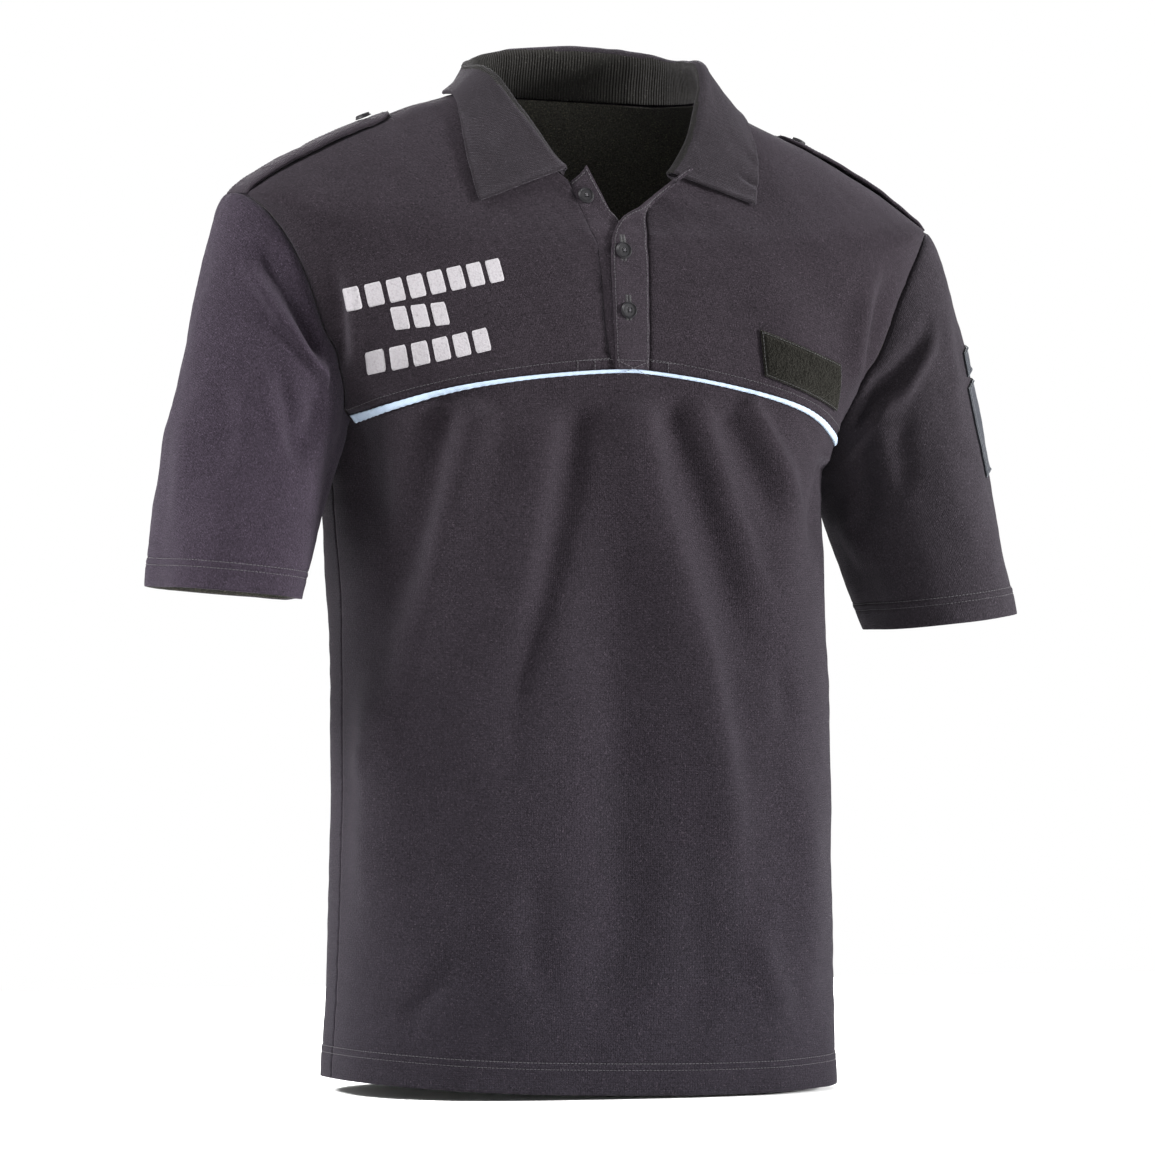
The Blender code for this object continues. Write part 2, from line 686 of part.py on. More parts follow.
def build_strap_button(side, name, finish):
    angle, level = strap_place(side, STRAP_BUTTON_X, 0.0)
    outward = body_normal(angle, level)
    place = body(angle, level) + outward * (2 * LAYER_GAP + STRAP_WALL)
    build_button(name, place, outward, BUTTON_RADIUS, BUTTON_WALL, finish)


def build_sleeve_patch(name, turn_range, part_range, thickness, finish):
    """A patch on the outside of the left sleeve."""
    turn = np.linspace(*turn_range, 9)[None, :]
    part = np.linspace(*part_range, 5)[:, None]
    points = sleeve(1, turn, part)
    outward = grid_open_normal(points)
    if outward[2, 4, 0] < 0:
        outward = -outward
    outer = points + outward * (LAYER_GAP + thickness)
    add_wall(name, outer, outward, thickness, finish)


def clear_scene():
    for made in list(bpy.data.objects):
        bpy.data.objects.remove(made, do_unlink=True)


def main():
    clear_scene()
    cotton = material("cotton_knit", COTTON, 0.92)
    rib = material("rib_knit", RIB, 0.94)
    blue = material("piping_tape", LIGHT_BLUE, 0.70)
    pile = material("loop_pile", LOOP_PILE, 0.98)
    resin = material("button_resin", BUTTON_BLACK, 0.35)
    badge = material("badge_twill", BADGE_GREY, 0.85)
    build_front(cotton)
    build_back(cotton)
    build_yoke(-1, "yoke_right", cotton)
    build_yoke(1, "yoke_left", cotton)
    build_sleeve(-1, "sleeve_right", cotton)
    build_sleeve(1, "sleeve_left", cotton)
    build_placket("placket_under", "under_seam", "under_edge", UNDER_LIFTS, 0.0, UNDER_CORNER_RISE, cotton)
    build_placket("placket_over", "over_seam", "over_edge", OVER_LIFTS, OVER_FLARE, 0.0, cotton)
    build_collar(rib)
    build_piping(blue)
    build_name_panel(pile)
    build_front_buttons(resin)
    for side, hand in ((-1, "right"), (1, "left")):
        build_epaulette(side, f"epaulette_{hand}", cotton)
        build_strap_button(side, f"epaulette_button_{hand}", resin)
    build_sleeve_patch("sleeve_tab", TAB_TURNS, TAB_PARTS, BADGE_WALL, badge)
    build_sleeve_patch("sleeve_badge", BADGE_TURNS, BADGE_PARTS, BADGE_WALL, badge)


main()
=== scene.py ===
"""The looks of a short-sleeved uniform polo shirt: knit panels, rib collar, seams, stitches and trim.

Metres, +Z up. +X is the wearer's left and the front faces -Y; the origin is the middle of the neck.
The body is one surface: rings stacked by level, from the hem (0) to the neck (5), and an angle
round each ring, where 0 is the wearer's left side, -90 degrees the centre front and 90 the back.
Every piece is a thin shell on that surface, with its folds placed one by one.
"""

import json
import logging
import math
from dataclasses import dataclass, field
from enum import Enum
from functools import partial

import bpy
import numpy as np
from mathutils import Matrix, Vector

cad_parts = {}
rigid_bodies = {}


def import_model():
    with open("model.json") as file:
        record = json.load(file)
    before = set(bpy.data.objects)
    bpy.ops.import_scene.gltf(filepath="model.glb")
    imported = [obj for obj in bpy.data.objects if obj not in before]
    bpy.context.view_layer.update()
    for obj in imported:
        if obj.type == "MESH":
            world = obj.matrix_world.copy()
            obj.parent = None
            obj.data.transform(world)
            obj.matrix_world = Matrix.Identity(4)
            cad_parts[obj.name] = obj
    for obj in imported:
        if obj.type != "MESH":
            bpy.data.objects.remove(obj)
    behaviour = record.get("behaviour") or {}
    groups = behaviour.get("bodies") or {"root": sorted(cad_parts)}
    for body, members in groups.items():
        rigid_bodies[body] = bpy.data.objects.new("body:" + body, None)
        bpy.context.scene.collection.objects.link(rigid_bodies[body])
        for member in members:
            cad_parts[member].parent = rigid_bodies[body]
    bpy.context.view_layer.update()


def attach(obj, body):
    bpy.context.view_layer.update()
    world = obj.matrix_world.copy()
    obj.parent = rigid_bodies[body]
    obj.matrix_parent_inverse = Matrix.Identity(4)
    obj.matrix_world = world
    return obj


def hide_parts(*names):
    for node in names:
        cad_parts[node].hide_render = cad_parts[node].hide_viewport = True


LOG = logging.getLogger("polo_shirt")
Array = np.ndarray
Material = bpy.types.Material
Socket = bpy.types.NodeSocket
Colour = tuple[float, float, float]
Spot = tuple[float, float]
Point = tuple[float, float, float]
UP = np.array([0.0, 0.0, 1.0])


# ---------------------------------------------------------------- shapes as whole arrays


def unit(vectors: Array) -> Array:
    """Each vector divided by its length."""
    return vectors / np.maximum(np.linalg.norm(vectors, axis=-1, keepdims=True), 1e-12)


def signed_power(value: Array, power: float) -> Array:
    """The size of a value raised to a power, with its sign kept."""
    return np.sign(value) * np.abs(value) ** power


def smooth(low: float, high: float, value: Array) -> Array:
    """0 below low, 1 above high, and 3t^2 - 2t^3 between, where t is the share of the way."""
    share = np.clip((np.asarray(value, float) - low) / (high - low), 0.0, 1.0)
    return share * share * (3 - 2 * share)


def bell(value: Array, width: float) -> Array:
    """1 at zero, falling away on both sides as exp(-(value / width)^2)."""
    return np.exp(-((value / width) ** 2))


def close_ended(count: int, crowd: float, low: float = 0.0) -> Array:
    """Values from low (0 or -1) to 1, crowded towards both ends: t - crowd * sin(2 pi t) / (2 pi)."""
    even = np.linspace(0.0, 1.0, count)
    return low + (1 - low) * (even - crowd * np.sin(2 * np.pi * even) / (2 * np.pi))


def spline(before: Array, start: Array, end: Array, after: Array, part: Array) -> Array:
    """A cubic from start to end, with slopes of half the difference of the neighbours."""
    bend = (2 * before - 5 * start + 4 * end - after) * part**2
    return (2 * start + (end - before) * part + bend + (3 * start - before - 3 * end + after) * part**3) / 2


def run_length(points: Array, axis: int) -> Array:
    """Length along the grid lines of one axis, counted from its first line."""
    total = np.cumsum(np.linalg.norm(np.diff(points, axis=axis), axis=-1), axis=axis)
    return np.concatenate([np.zeros_like(np.take(total, [0], axis=axis)), total], axis=axis)


def grid_normals(points: Array, outward: Array, ring: bool = False) -> Array:
    """Directions square to a grid, turned the way of the outward hints.

    They are the cross product of its two slopes; a ring's last column is followed by its first.
    """
    if ring:
        along = np.roll(points, -1, axis=1) - np.roll(points, 1, axis=1)
    else:
        along = np.gradient(points, axis=1)
    normals = unit(np.cross(np.gradient(points, axis=0), along))
    return np.where((normals * outward).sum(axis=-1, keepdims=True) < 0, -normals, normals)


def ripple(across: Array, up: Array, seed: int, wave: float) -> Array:
    """An even, gentle unevenness between about -1 and 1.

    It is the mean of seven sine waves, whose directions, lengths near wave and starts are drawn
    from the seed.
    """
    draw = np.random.default_rng(seed)
    heading = draw.uniform(0, np.pi, 7)
    size = wave * draw.uniform(0.65, 1.7, 7)
    start = draw.uniform(0, 2 * np.pi, 7)
    along = across[..., None] * np.cos(heading) + up[..., None] * np.sin(heading)
    return np.sin(along * 2 * np.pi / size + start).mean(axis=-1) * 1.6


def numbers(rows: int, columns: int, ring: bool = False) -> Array:
    """The corner numbers of a grid, with its first column repeated where it is a ring."""
    grid = np.arange(rows * columns).reshape(rows, columns)
    return np.concatenate([grid, grid[:, :1]], axis=1) if ring else grid


def cells(grid: Array) -> Array:
    """The four corner numbers of each cell of a grid of numbers."""
    return np.stack([grid[:-1, :-1], grid[:-1, 1:], grid[1:, 1:], grid[1:, :-1]], -1).reshape(-1, 4)


@dataclass(frozen=True)
class Fold:
    """A soft fold: a ridge, or a trough where its height is negative.

    Its height over a point is height * exp(-(d / width)^2 / 2) * fade, where d is the distance from
    the fold's line, the width is narrower on one side by lean, and fade rises from 0 at one end of
    the line and falls to 0 at the other.
    """

    line: tuple[Spot, ...]
    height: float
    width: float
    lean: float = 0.0
    fades: Spot = (0.35, 0.35)

    def over(self, across: Array, up: Array) -> Array:
        """How far the fold lifts the cloth at each place."""
        path = np.array(self.line, float)
        spans = np.diff(path, axis=0)
        sizes = np.linalg.norm(spans, axis=1)
        nearest, side, place = np.inf, 0.0, 0.0
        for start, span, size, before in zip(path, spans, sizes, np.cumsum(sizes) - sizes):
            x, y = across - start[0], up - start[1]
            share = np.clip((x * span[0] + y * span[1]) / size**2, 0.0, 1.0)
            away = np.hypot(x - share * span[0], y - share * span[1])
            closer = away < nearest
            nearest = np.where(closer, away, nearest)
            side = np.where(closer, np.sign(x * span[1] - y * span[0]), side)
            place = np.where(closer, before + share * size, place)
        share = place / sizes.sum()
        fade = smooth(0.0, self.fades[0], share) * smooth(0.0, self.fades[1], 1 - share)
        return self.height * fade * np.exp(-((nearest / (self.width * (1 + self.lean * side))) ** 2) / 2)


class Side(Enum):
    """The two faces of the body that folds are placed on."""

    FRONT = -1
    BACK = 1


class Hand(Enum):
    """The wearer's two sides."""

    RIGHT = -1
    LEFT = 1

    @property
    def word(self) -> str:
        """The side's name in piece names."""
        return self.name.lower()


FRONT_FOLDS = (
    # beside the armholes, down to the ends of the chest seam
    Fold(((-0.214, -0.12), (-0.206, -0.165), (-0.2, -0.21)), -0.0045, 0.0045, 0.25, (0.5, 0.25)),
    Fold(((-0.203, -0.11), (-0.197, -0.16), (-0.192, -0.21)), 0.003, 0.0055, 0.2, (0.5, 0.2)),
    Fold(((-0.15, -0.09), (-0.172, -0.12), (-0.19, -0.16)), -0.0016, 0.01, 0.0, (0.4, 0.4)),
    Fold(((0.214, -0.105), (0.205, -0.15), (0.199, -0.215)), -0.004, 0.006, -0.2),
    Fold(((0.196, -0.11), (0.188, -0.16), (0.187, -0.215)), 0.0032, 0.0065),
    Fold(((0.13, -0.105), (0.165, -0.15), (0.18, -0.205)), -0.0017, 0.011),
    Fold(((0.09, -0.1), (0.118, -0.14), (0.14, -0.185)), 0.0013, 0.013),
    Fold(((-0.032, -0.095), (-0.024, -0.14), (-0.019, -0.195)), -0.002, 0.006, 0.2, (0.3, 0.1)),
    # fanning from the chest seam down the belly, from the wearer's right to the left
    Fold(((-0.189, -0.23), (-0.176, -0.3), (-0.17, -0.345)), -0.006, 0.011, 0.2, (0.1, 0.5)),
    Fold(((-0.146, -0.22), (-0.157, -0.295), (-0.167, -0.345)), 0.0044, 0.009, 0.0, (0.1, 0.5)),
    Fold(((-0.131, -0.22), (-0.146, -0.295), (-0.168, -0.4)), -0.0048, 0.0085, 0.2, (0.1, 0.5)),
    Fold(
        ((-0.111, -0.22), (-0.138, -0.33), (-0.166, -0.45), (-0.175, -0.56)),
        0.0066, 0.01, 0.0, (0.05, 0.5),
    ),
    Fold(((-0.064, -0.22), (-0.076, -0.295), (-0.103, -0.43)), 0.0038, 0.0115, 0.0, (0.1, 0.5)),
    Fold(
        ((-0.037, -0.215), (-0.052, -0.29), (-0.086, -0.42), (-0.106, -0.53)),
        -0.006, 0.01, 0.15, (0.08, 0.35),
    ),
    Fold(((-0.02, -0.26), (-0.016, -0.34), (-0.015, -0.69)), -0.0075, 0.019, 0.0, (0.3, 0.2)),
    Fold(
        ((0.001, -0.21), (0.012, -0.285), (0.047, -0.4), (0.066, -0.52), (0.072, -0.62)),
        0.0076, 0.013, 0.2, (0.05, 0.4),
    ),
    Fold(((0.022, -0.215), (0.047, -0.275), (0.096, -0.435)), -0.0046, 0.01, 0.1, (0.08, 0.5)),
    Fold(((0.044, -0.21), (0.072, -0.29), (0.116, -0.395)), 0.0042, 0.01, 0.3, (0.08, 0.5)),
    Fold(((0.069, -0.22), (0.102, -0.275), (0.122, -0.325)), -0.004, 0.009, 0.0, (0.1, 0.5)),
    Fold(((0.086, -0.21), (0.122, -0.265), (0.143, -0.31)), 0.005, 0.008, 0.3, (0.08, 0.5)),
    Fold(((0.178, -0.25), (0.164, -0.29), (0.15, -0.33)), -0.005, 0.01, -0.2, (0.1, 0.5)),
    # low down and at the hem
    Fold(((-0.172, -0.4), (-0.178, -0.54), (-0.173, -0.62)), 0.004, 0.012, -0.2),
    Fold(((-0.182, -0.5), (-0.177, -0.468)), 0.0016, 0.005),
    Fold(((-0.085, -0.54), (-0.08, -0.59), (-0.072, -0.65)), -0.0024, 0.01),
    Fold(((-0.094, -0.52), (-0.101, -0.62), (-0.089, -0.7)), 0.0028, 0.012),
    Fold(((-0.128, -0.612), (-0.151, -0.658)), -0.0013, 0.005),
    Fold(((-0.142, -0.636), (-0.165, -0.673)), -0.0018, 0.0045),
    Fold(((0.083, -0.585), (0.102, -0.63), (0.122, -0.665)), 0.0034, 0.009),
    Fold(((0.108, -0.395), (0.123, -0.46)), -0.0018, 0.007, 0.0, (0.45, 0.45)),
    Fold(((0.036, -0.545), (0.044, -0.615), (0.049, -0.69)), -0.0032, 0.013),
    Fold(((0.135, -0.47), (0.146, -0.66)), 0.003, 0.013),
)

BACK_FOLDS = (
    # out of the armholes towards the middle
    Fold(((0.205, -0.205), (0.165, -0.245), (0.105, -0.3)), -0.006, 0.0105, 0.2, (0.05, 0.5)),
    Fold(((-0.205, -0.2), (-0.16, -0.25), (-0.1, -0.325)), -0.0064, 0.011, -0.2, (0.05, 0.5)),
    Fold(((0.198, -0.16), (0.16, -0.19), (0.11, -0.215)), 0.0036, 0.01, 0.0, (0.1, 0.5)),
    Fold(((-0.2, -0.155), (-0.158, -0.18), (-0.118, -0.2)), 0.0032, 0.009, 0.0, (0.1, 0.5)),
    Fold(((0.17, -0.3), (0.14, -0.36), (0.12, -0.45)), 0.0044, 0.012),
    Fold(((-0.172, -0.31), (-0.15, -0.375), (-0.115, -0.48)), 0.0042, 0.0125),
    # across the small of the back
    Fold(((-0.13, -0.42), (-0.045, -0.448), (0.035, -0.44)), -0.003, 0.0115, 0.3),
    Fold(((0.14, -0.452), (0.06, -0.478), (-0.01, -0.47)), -0.0026, 0.01, -0.2),
    Fold(((-0.11, -0.5), (-0.03, -0.515), (0.07, -0.505)), 0.0024, 0.014),
    Fold(((-0.05, -0.395), (0.03, -0.402), (0.1, -0.385)), 0.0022, 0.012),
    # down to the hem
    Fold(((-0.12, -0.52), (-0.128, -0.62), (-0.12, -0.714)), -0.005, 0.015, 0.2, (0.4, 0.02)),
    Fold(((-0.055, -0.54), (-0.048, -0.63), (-0.055, -0.714)), 0.0046, 0.017, 0.0, (0.4, 0.02)),
    Fold(((0.02, -0.53), (0.012, -0.62), (0.018, -0.714)), -0.0052, 0.015, -0.2, (0.4, 0.02)),
    Fold(((0.09, -0.55), (0.096, -0.64), (0.09, -0.714)), 0.004, 0.015, 0.0, (0.4, 0.02)),
    Fold(((0.148, -0.5), (0.152, -0.61), (0.145, -0.714)), -0.0042, 0.012, 0.2, (0.4, 0.02)),
    # between the shoulder blades and the neck
    Fold(((0.03, -0.035), (0.05, -0.11), (0.055, -0.19)), 0.003, 0.016),
    Fold(((-0.036, -0.03), (-0.052, -0.1), (-0.05, -0.17)), 0.0028, 0.017),
    Fold(((0.0, -0.02), (0.003, -0.075), (-0.002, -0.13)), -0.0026, 0.014),
)

# Sleeve folds: the first number is the distance round the arm from its outer line, in metres and
# growing towards the front, and the second is the distance down from the armhole.
RIGHT_SLEEVE_FOLDS = (
    Fold(((0.036, 0.038), (0.071, 0.045), (0.092, 0.038), (0.131, 0.025)), 0.0044, 0.0048, 0.35, (0.3, 0.15)),
    Fold(((0.04, 0.022), (0.06, 0.025), (0.082, 0.02), (0.112, 0.011)), -0.006, 0.0062, 0.0, (0.3, 0.1)),
    Fold(((0.058, 0.078), (0.074, 0.092), (0.088, 0.116)), 0.0022, 0.0055),
    Fold(((0.078, 0.06), (0.1, 0.085), (0.118, 0.125)), -0.0026, 0.0075),
    Fold(((0.036, 0.105), (0.052, 0.135), (0.06, 0.18)), -0.002, 0.0085),
    Fold(((0.014, 0.13), (0.024, 0.18), (0.022, 0.236)), 0.0018, 0.01),
    Fold(((0.13, 0.03), (0.124, 0.07), (0.112, 0.13)), -0.0034, 0.008),
    Fold(((-0.04, 0.016), (-0.08, 0.03), (-0.13, 0.022)), -0.0052, 0.008, 0.0, (0.3, 0.1)),
    Fold(((-0.05, 0.04), (-0.086, 0.052), (-0.126, 0.046)), 0.0038, 0.007),
    Fold(((-0.06, 0.09), (-0.086, 0.13), (-0.1, 0.19)), -0.0034, 0.01),
    Fold(((-0.03, 0.12), (-0.042, 0.18), (-0.04, 0.24)), 0.0024, 0.011),
    Fold(((-0.12, 0.08), (-0.13, 0.13), (-0.12, 0.18)), 0.003, 0.009),
)

LEFT_SLEEVE_FOLDS = (
    Fold(
        ((0.06, 0.026), (0.077, 0.033), (0.099, 0.02), (0.12, 0.011), (0.151, 0.007)),
        -0.0058, 0.0058, 0.0, (0.25, 0.1),
    ),
    Fold(((0.059, 0.037), (0.072, 0.046), (0.1, 0.042), (0.13, 0.03)), 0.004, 0.0055, 0.3, (0.3, 0.2)),
    Fold(((0.04, 0.036), (0.052, 0.06), (0.06, 0.1)), 0.0018, 0.006),
    Fold(((0.104, 0.04), (0.118, 0.07), (0.126, 0.12)), -0.0036, 0.008),
    Fold(((0.09, 0.09), (0.088, 0.15), (0.08, 0.21)), 0.002, 0.011),
    Fold(((0.15, 0.03), (0.16, 0.08), (0.165, 0.13)), -0.005, 0.008, 0.0, (0.1, 0.5)),
    Fold(((0.18, 0.05), (0.186, 0.11), (0.18, 0.17)), 0.0036, 0.009),
    Fold(((0.03, 0.12), (0.038, 0.18), (0.034, 0.24)), -0.0018, 0.01),
    Fold(((-0.044, 0.018), (-0.084, 0.034), (-0.132, 0.026)), -0.0056, 0.008, 0.0, (0.3, 0.1)),
    Fold(((-0.056, 0.044), (-0.092, 0.056), (-0.128, 0.05)), 0.004, 0.007),
    Fold(((-0.064, 0.1), (-0.084, 0.15), (-0.088, 0.2)), -0.003, 0.011),
    Fold(((-0.11, 0.09), (-0.124, 0.14), (-0.116, 0.2)), 0.003, 0.009),
)


@dataclass(frozen=True)
class Place:
    """Points of the garment with the directions out of it."""

    points: Array
    outward: Array

    def lifted(self, height: Array | float) -> "Place":
        """The same places, moved outwards."""
        return Place(self.points + self.outward * np.asarray(height)[..., None], self.outward)


@dataclass
class TorsoForm:
    """The body of the shirt as worn: its rings, armholes, chest seam and front opening."""

    ring_names: tuple[str, ...] = ("level", "half_width", "half_depth", "middle", "side", "front", "back")
    rings: Array = field(
        default_factory=lambda: np.array([
            (0.0, 0.1900, 0.131, 0.014, -0.709, -0.7145, -0.714),
            (1.0, 0.1835, 0.128, 0.006, -0.490, -0.490, -0.490),
            (2.0, 0.1875, 0.131, 0.026, -0.262, -0.262, -0.262),
            (3.0, 0.2350, 0.127, 0.024, -0.172, -0.180, -0.165),
            (4.0, 0.2650, 0.108, 0.012, -0.0795, -0.107, -0.069),
            (5.0, 0.0880, 0.080, 0.000, 0.004, -0.072, 0.006),
        ])
    )
    ring_power: float = 2.5
    armpit: float = 2.0
    tip: float = 4.0
    neck: float = 5.0
    shoulder_rise: float = 0.0085
    hem_levelling: float = 0.020
    armhole_half_depth: float = 0.066
    armhole_power: float = 2.3
    seam_centre: float = 2.76
    seam_side: float = 3 - math.cos(0.2 * math.pi)
    seam_arch: float = 1.4
    fold_depth: float = 1.5
    rounding: float = 0.34
    # each broad swell: its angle round from the centre front, how sharp it is and its height
    fans: tuple[tuple[float, float, float], ...] = (
        (0.62, 9.0, 0.0030), (-0.52, 7.0, 0.0034), (-0.12, 9.0, -0.0036), (1.05, 8.0, -0.0030),
        (2.35, 6.0, -0.0040), (3.05, 6.0, 0.0040), (3.80, 6.0, -0.0036),
    )
    opening_names: tuple[str, ...] = ("height", "under_seam", "under_edge", "over_edge", "over_seam")
    opening: Array = field(
        default_factory=lambda: np.array([
            (-0.200, -0.0150, 0.0040, -0.0145, 0.0114),
            (-0.168, -0.0205, 0.0040, -0.0155, 0.0118),
            (-0.126, -0.0225, 0.0030, -0.0162, 0.0126),
            (-0.104, -0.0260, 0.0010, -0.0162, 0.0134),
            (-0.088, -0.0315, -0.0050, -0.0050, 0.0142),
            (-0.078, -0.0355, -0.0110, 0.0070, 0.0170),
            (-0.064, -0.0430, -0.0250, 0.0290, 0.0360),
        ])
    )

    def ring(self, level: Array, reach: Array | float = 0.0) -> dict[str, Array]:
        """Each ring size at these levels: a cubic up to the shoulder tip, then a straight line.

        Within reach of the tip a parabola, (past + reach)^2 / (4 reach), joins the two.
        """
        past = np.asarray(level, float) - self.tip
        reach = np.maximum(reach, 1e-6)
        up = np.where(np.abs(past) < reach, (past + reach) ** 2 / (4 * reach), np.clip(past, 0.0, None))
        body = np.clip(past - up + self.tip, 0.0, self.tip)
        low = np.clip(np.floor(body).astype(int), 0, int(self.tip) - 1)
        near = (self.rings[np.clip(low + step, 0, int(self.tip))] for step in (-1, 0, 1, 2))
        rows = spline(*near, (body - low)[..., None]) + (self.rings[5] - self.rings[4]) * up[..., None]
        return {name: rows[..., i] for i, name in enumerate(self.ring_names)}

    def broad_folds(self, angle: Array, level: Array) -> Array:
        """The widest swells, which fan down from the chest: one bell curve each round the body."""
        across = np.asarray(angle, float) + np.pi / 2
        fade = np.clip((3.1 - level) / 1.3, 0.0, 1.0) * np.clip(0.35 + level / 3.0, 0.0, 1.0)
        total = 0.0
        for place, sharpness, height in self.fans:
            away = np.angle(np.exp(1j * (across - place * (1.18 - 0.09 * level))))
            total = total + height * np.exp(-((away * sharpness) ** 2) / 2)
        return total * fade

    def plain(self, angle: Array, level: Array) -> Array:
        """The body without its small folds: a superellipse ring, swelled by the broad folds.

        The shoulder line is rounded on the front and the back, and stays sharp at the sides.
        """
        angle, level = np.asarray(angle, float), np.asarray(level, float)
        ring = self.ring(level, self.rounding * np.sin(angle) ** 2)
        power = 2 / self.ring_power
        swell = self.broad_folds(angle, level) / ring["half_depth"]
        x = ring["half_width"] * signed_power(np.cos(angle), power) * (1 + swell * 0.5)
        y = ring["middle"] + ring["half_depth"] * signed_power(np.sin(angle), power) * (1 + swell)
        end = np.where(np.sin(angle) < 0, ring["front"], ring["back"])
        up = np.clip(level - self.tip, 0.0, 1.0)
        z = ring["side"] + (end - ring["side"]) * np.sin(angle) ** 2
        z = z + self.hem_levelling * x * np.clip(1 - level, 0.0, 1.0)
        z = z + self.shoulder_rise * 4 * up * (1 - up) * np.cos(angle) ** 2
        return np.stack(np.broadcast_arrays(x, y, z), axis=-1)

    def square(self, angle: Array, level: Array) -> Array:
        """The direction out of the plain body: the cross product of its slopes round and up."""
        step = 1e-3
        lower, upper = np.clip(level - step, 0.0, self.neck), np.clip(level + step, 0.0, self.neck)
        round_ring = self.plain(angle + step, level) - self.plain(angle - step, level)
        return unit(np.cross(round_ring, self.plain(angle, upper) - self.plain(angle, lower)))

    def fold_height(self, angle: Array, points: Array) -> Array:
        """All the small folds at these points, each face's own faded out round the sides."""
        x, z = points[..., 0], points[..., 2]
        total = ripple(x, z, 11, 0.055) * 0.0007 + ripple(x, z, 12, 0.017) * 0.00022
        total = total + ripple(x, z * 0.32, 13, 0.085) * 0.0012 * smooth(-0.20, -0.32, z)
        for side, folds in ((Side.FRONT, FRONT_FOLDS), (Side.BACK, BACK_FOLDS)):
            share = smooth(0.02, 0.30, np.sin(angle) * side.value)
            total = total + sum(fold.over(x, z) for fold in folds) * share * self.fold_depth
        return total

    def worn(self, angle: Array, level: Array, lift: Array | float = 0.0) -> Place:
        """Points on the folded cloth and the directions out of the body under them."""
        angle, level = np.broadcast_arrays(np.asarray(angle, float), np.asarray(level, float))
        points = self.plain(angle, level)
        return Place(points, self.square(angle, level)).lifted(self.fold_height(angle, points) + lift)

    def armhole_angle(self, level: Array) -> Array:
        """Half the angle that the armhole takes out of the ring at this level."""
        level = np.asarray(level, float)
        part = np.clip((level - self.armpit) / (self.tip - self.armpit), 0.0, 1.0)
        open_share = np.clip(1 - np.abs(2 * part - 1) ** self.armhole_power, 0.0, 1.0)
        reach = self.armhole_half_depth * np.sqrt(open_share)
        sine = (reach / self.ring(level)["half_depth"]) ** (self.ring_power / 2)
        return np.arcsin(np.clip(sine, 0.0, 0.99))

    def armhole(self, hand: Hand, turn: Array) -> Place:
        """Places round one armhole; a turn of 0 is the shoulder tip and 90 degrees the front."""
        level = (self.tip + self.armpit) / 2 + (self.tip - self.armpit) / 2 * np.cos(turn)
        angle = -np.sign(np.round(np.sin(turn), 9)) * self.armhole_angle(level)
        return self.worn(angle if hand is Hand.LEFT else np.pi - angle, level)

    def front_angle(self, x: Array, level: Array) -> Array:
        """The angle on the front at this distance across."""
        share = np.clip(np.asarray(x, float) / self.ring(level)["half_width"], -1.0, 1.0)
        return -np.arccos(signed_power(share, self.ring_power / 2))

    def front_level(self, x: Array, z: Array) -> Array:
        """The level where the front passes through this x and z, by halving 40 times."""
        x, z = np.broadcast_arrays(np.asarray(x, float), np.asarray(z, float))
        low, high = np.zeros(x.shape), np.full(x.shape, self.neck)
        for _ in range(40):
            level = (low + high) / 2
            below = self.plain(self.front_angle(x, level), level)[..., 2] < z
            low, high = np.where(below, level, low), np.where(below, high, level)
        return (low + high) / 2

    def on_front(self, x: Array, z: Array, lift: Array | float = 0.0) -> Place:
        """Places on the front cloth at these distances across and up."""
        level = self.front_level(x, z)
        return self.worn(self.front_angle(x, level), level, lift)

    def seam_level(self, angle: Array) -> Array:
        """The level of the arched chest seam at this angle."""
        aside = np.abs(np.cos(angle)) ** (2 / self.ring_power) / 0.97
        return self.seam_centre + (self.seam_side - self.seam_centre) * aside**self.seam_arch

    def opening_line(self, name: str, level: Array) -> Array:
        """Across, at this level, of a line of the front opening, eased between its rows."""
        height = self.ring(level)["front"]
        column = self.opening[:, self.opening_names.index(name)]
        near = [np.interp(height + step, self.opening[:, 0], column) for step in (-0.006, 0.0, 0.006)]
        return (near[0] + 2 * near[1] + near[2]) / 4

    def even_levels(self, low: float, high: float, count: int, crowd: float, angle: float) -> Array:
        """Levels evenly spaced along the cloth at one angle, crowded towards both ends."""
        level = np.linspace(low, high, 400)
        length = run_length(self.plain(np.full(400, angle), level), 0)
        return np.interp(close_ended(count, crowd) * length[-1], length, level)


# ---------------------------------------------------------------- meshes


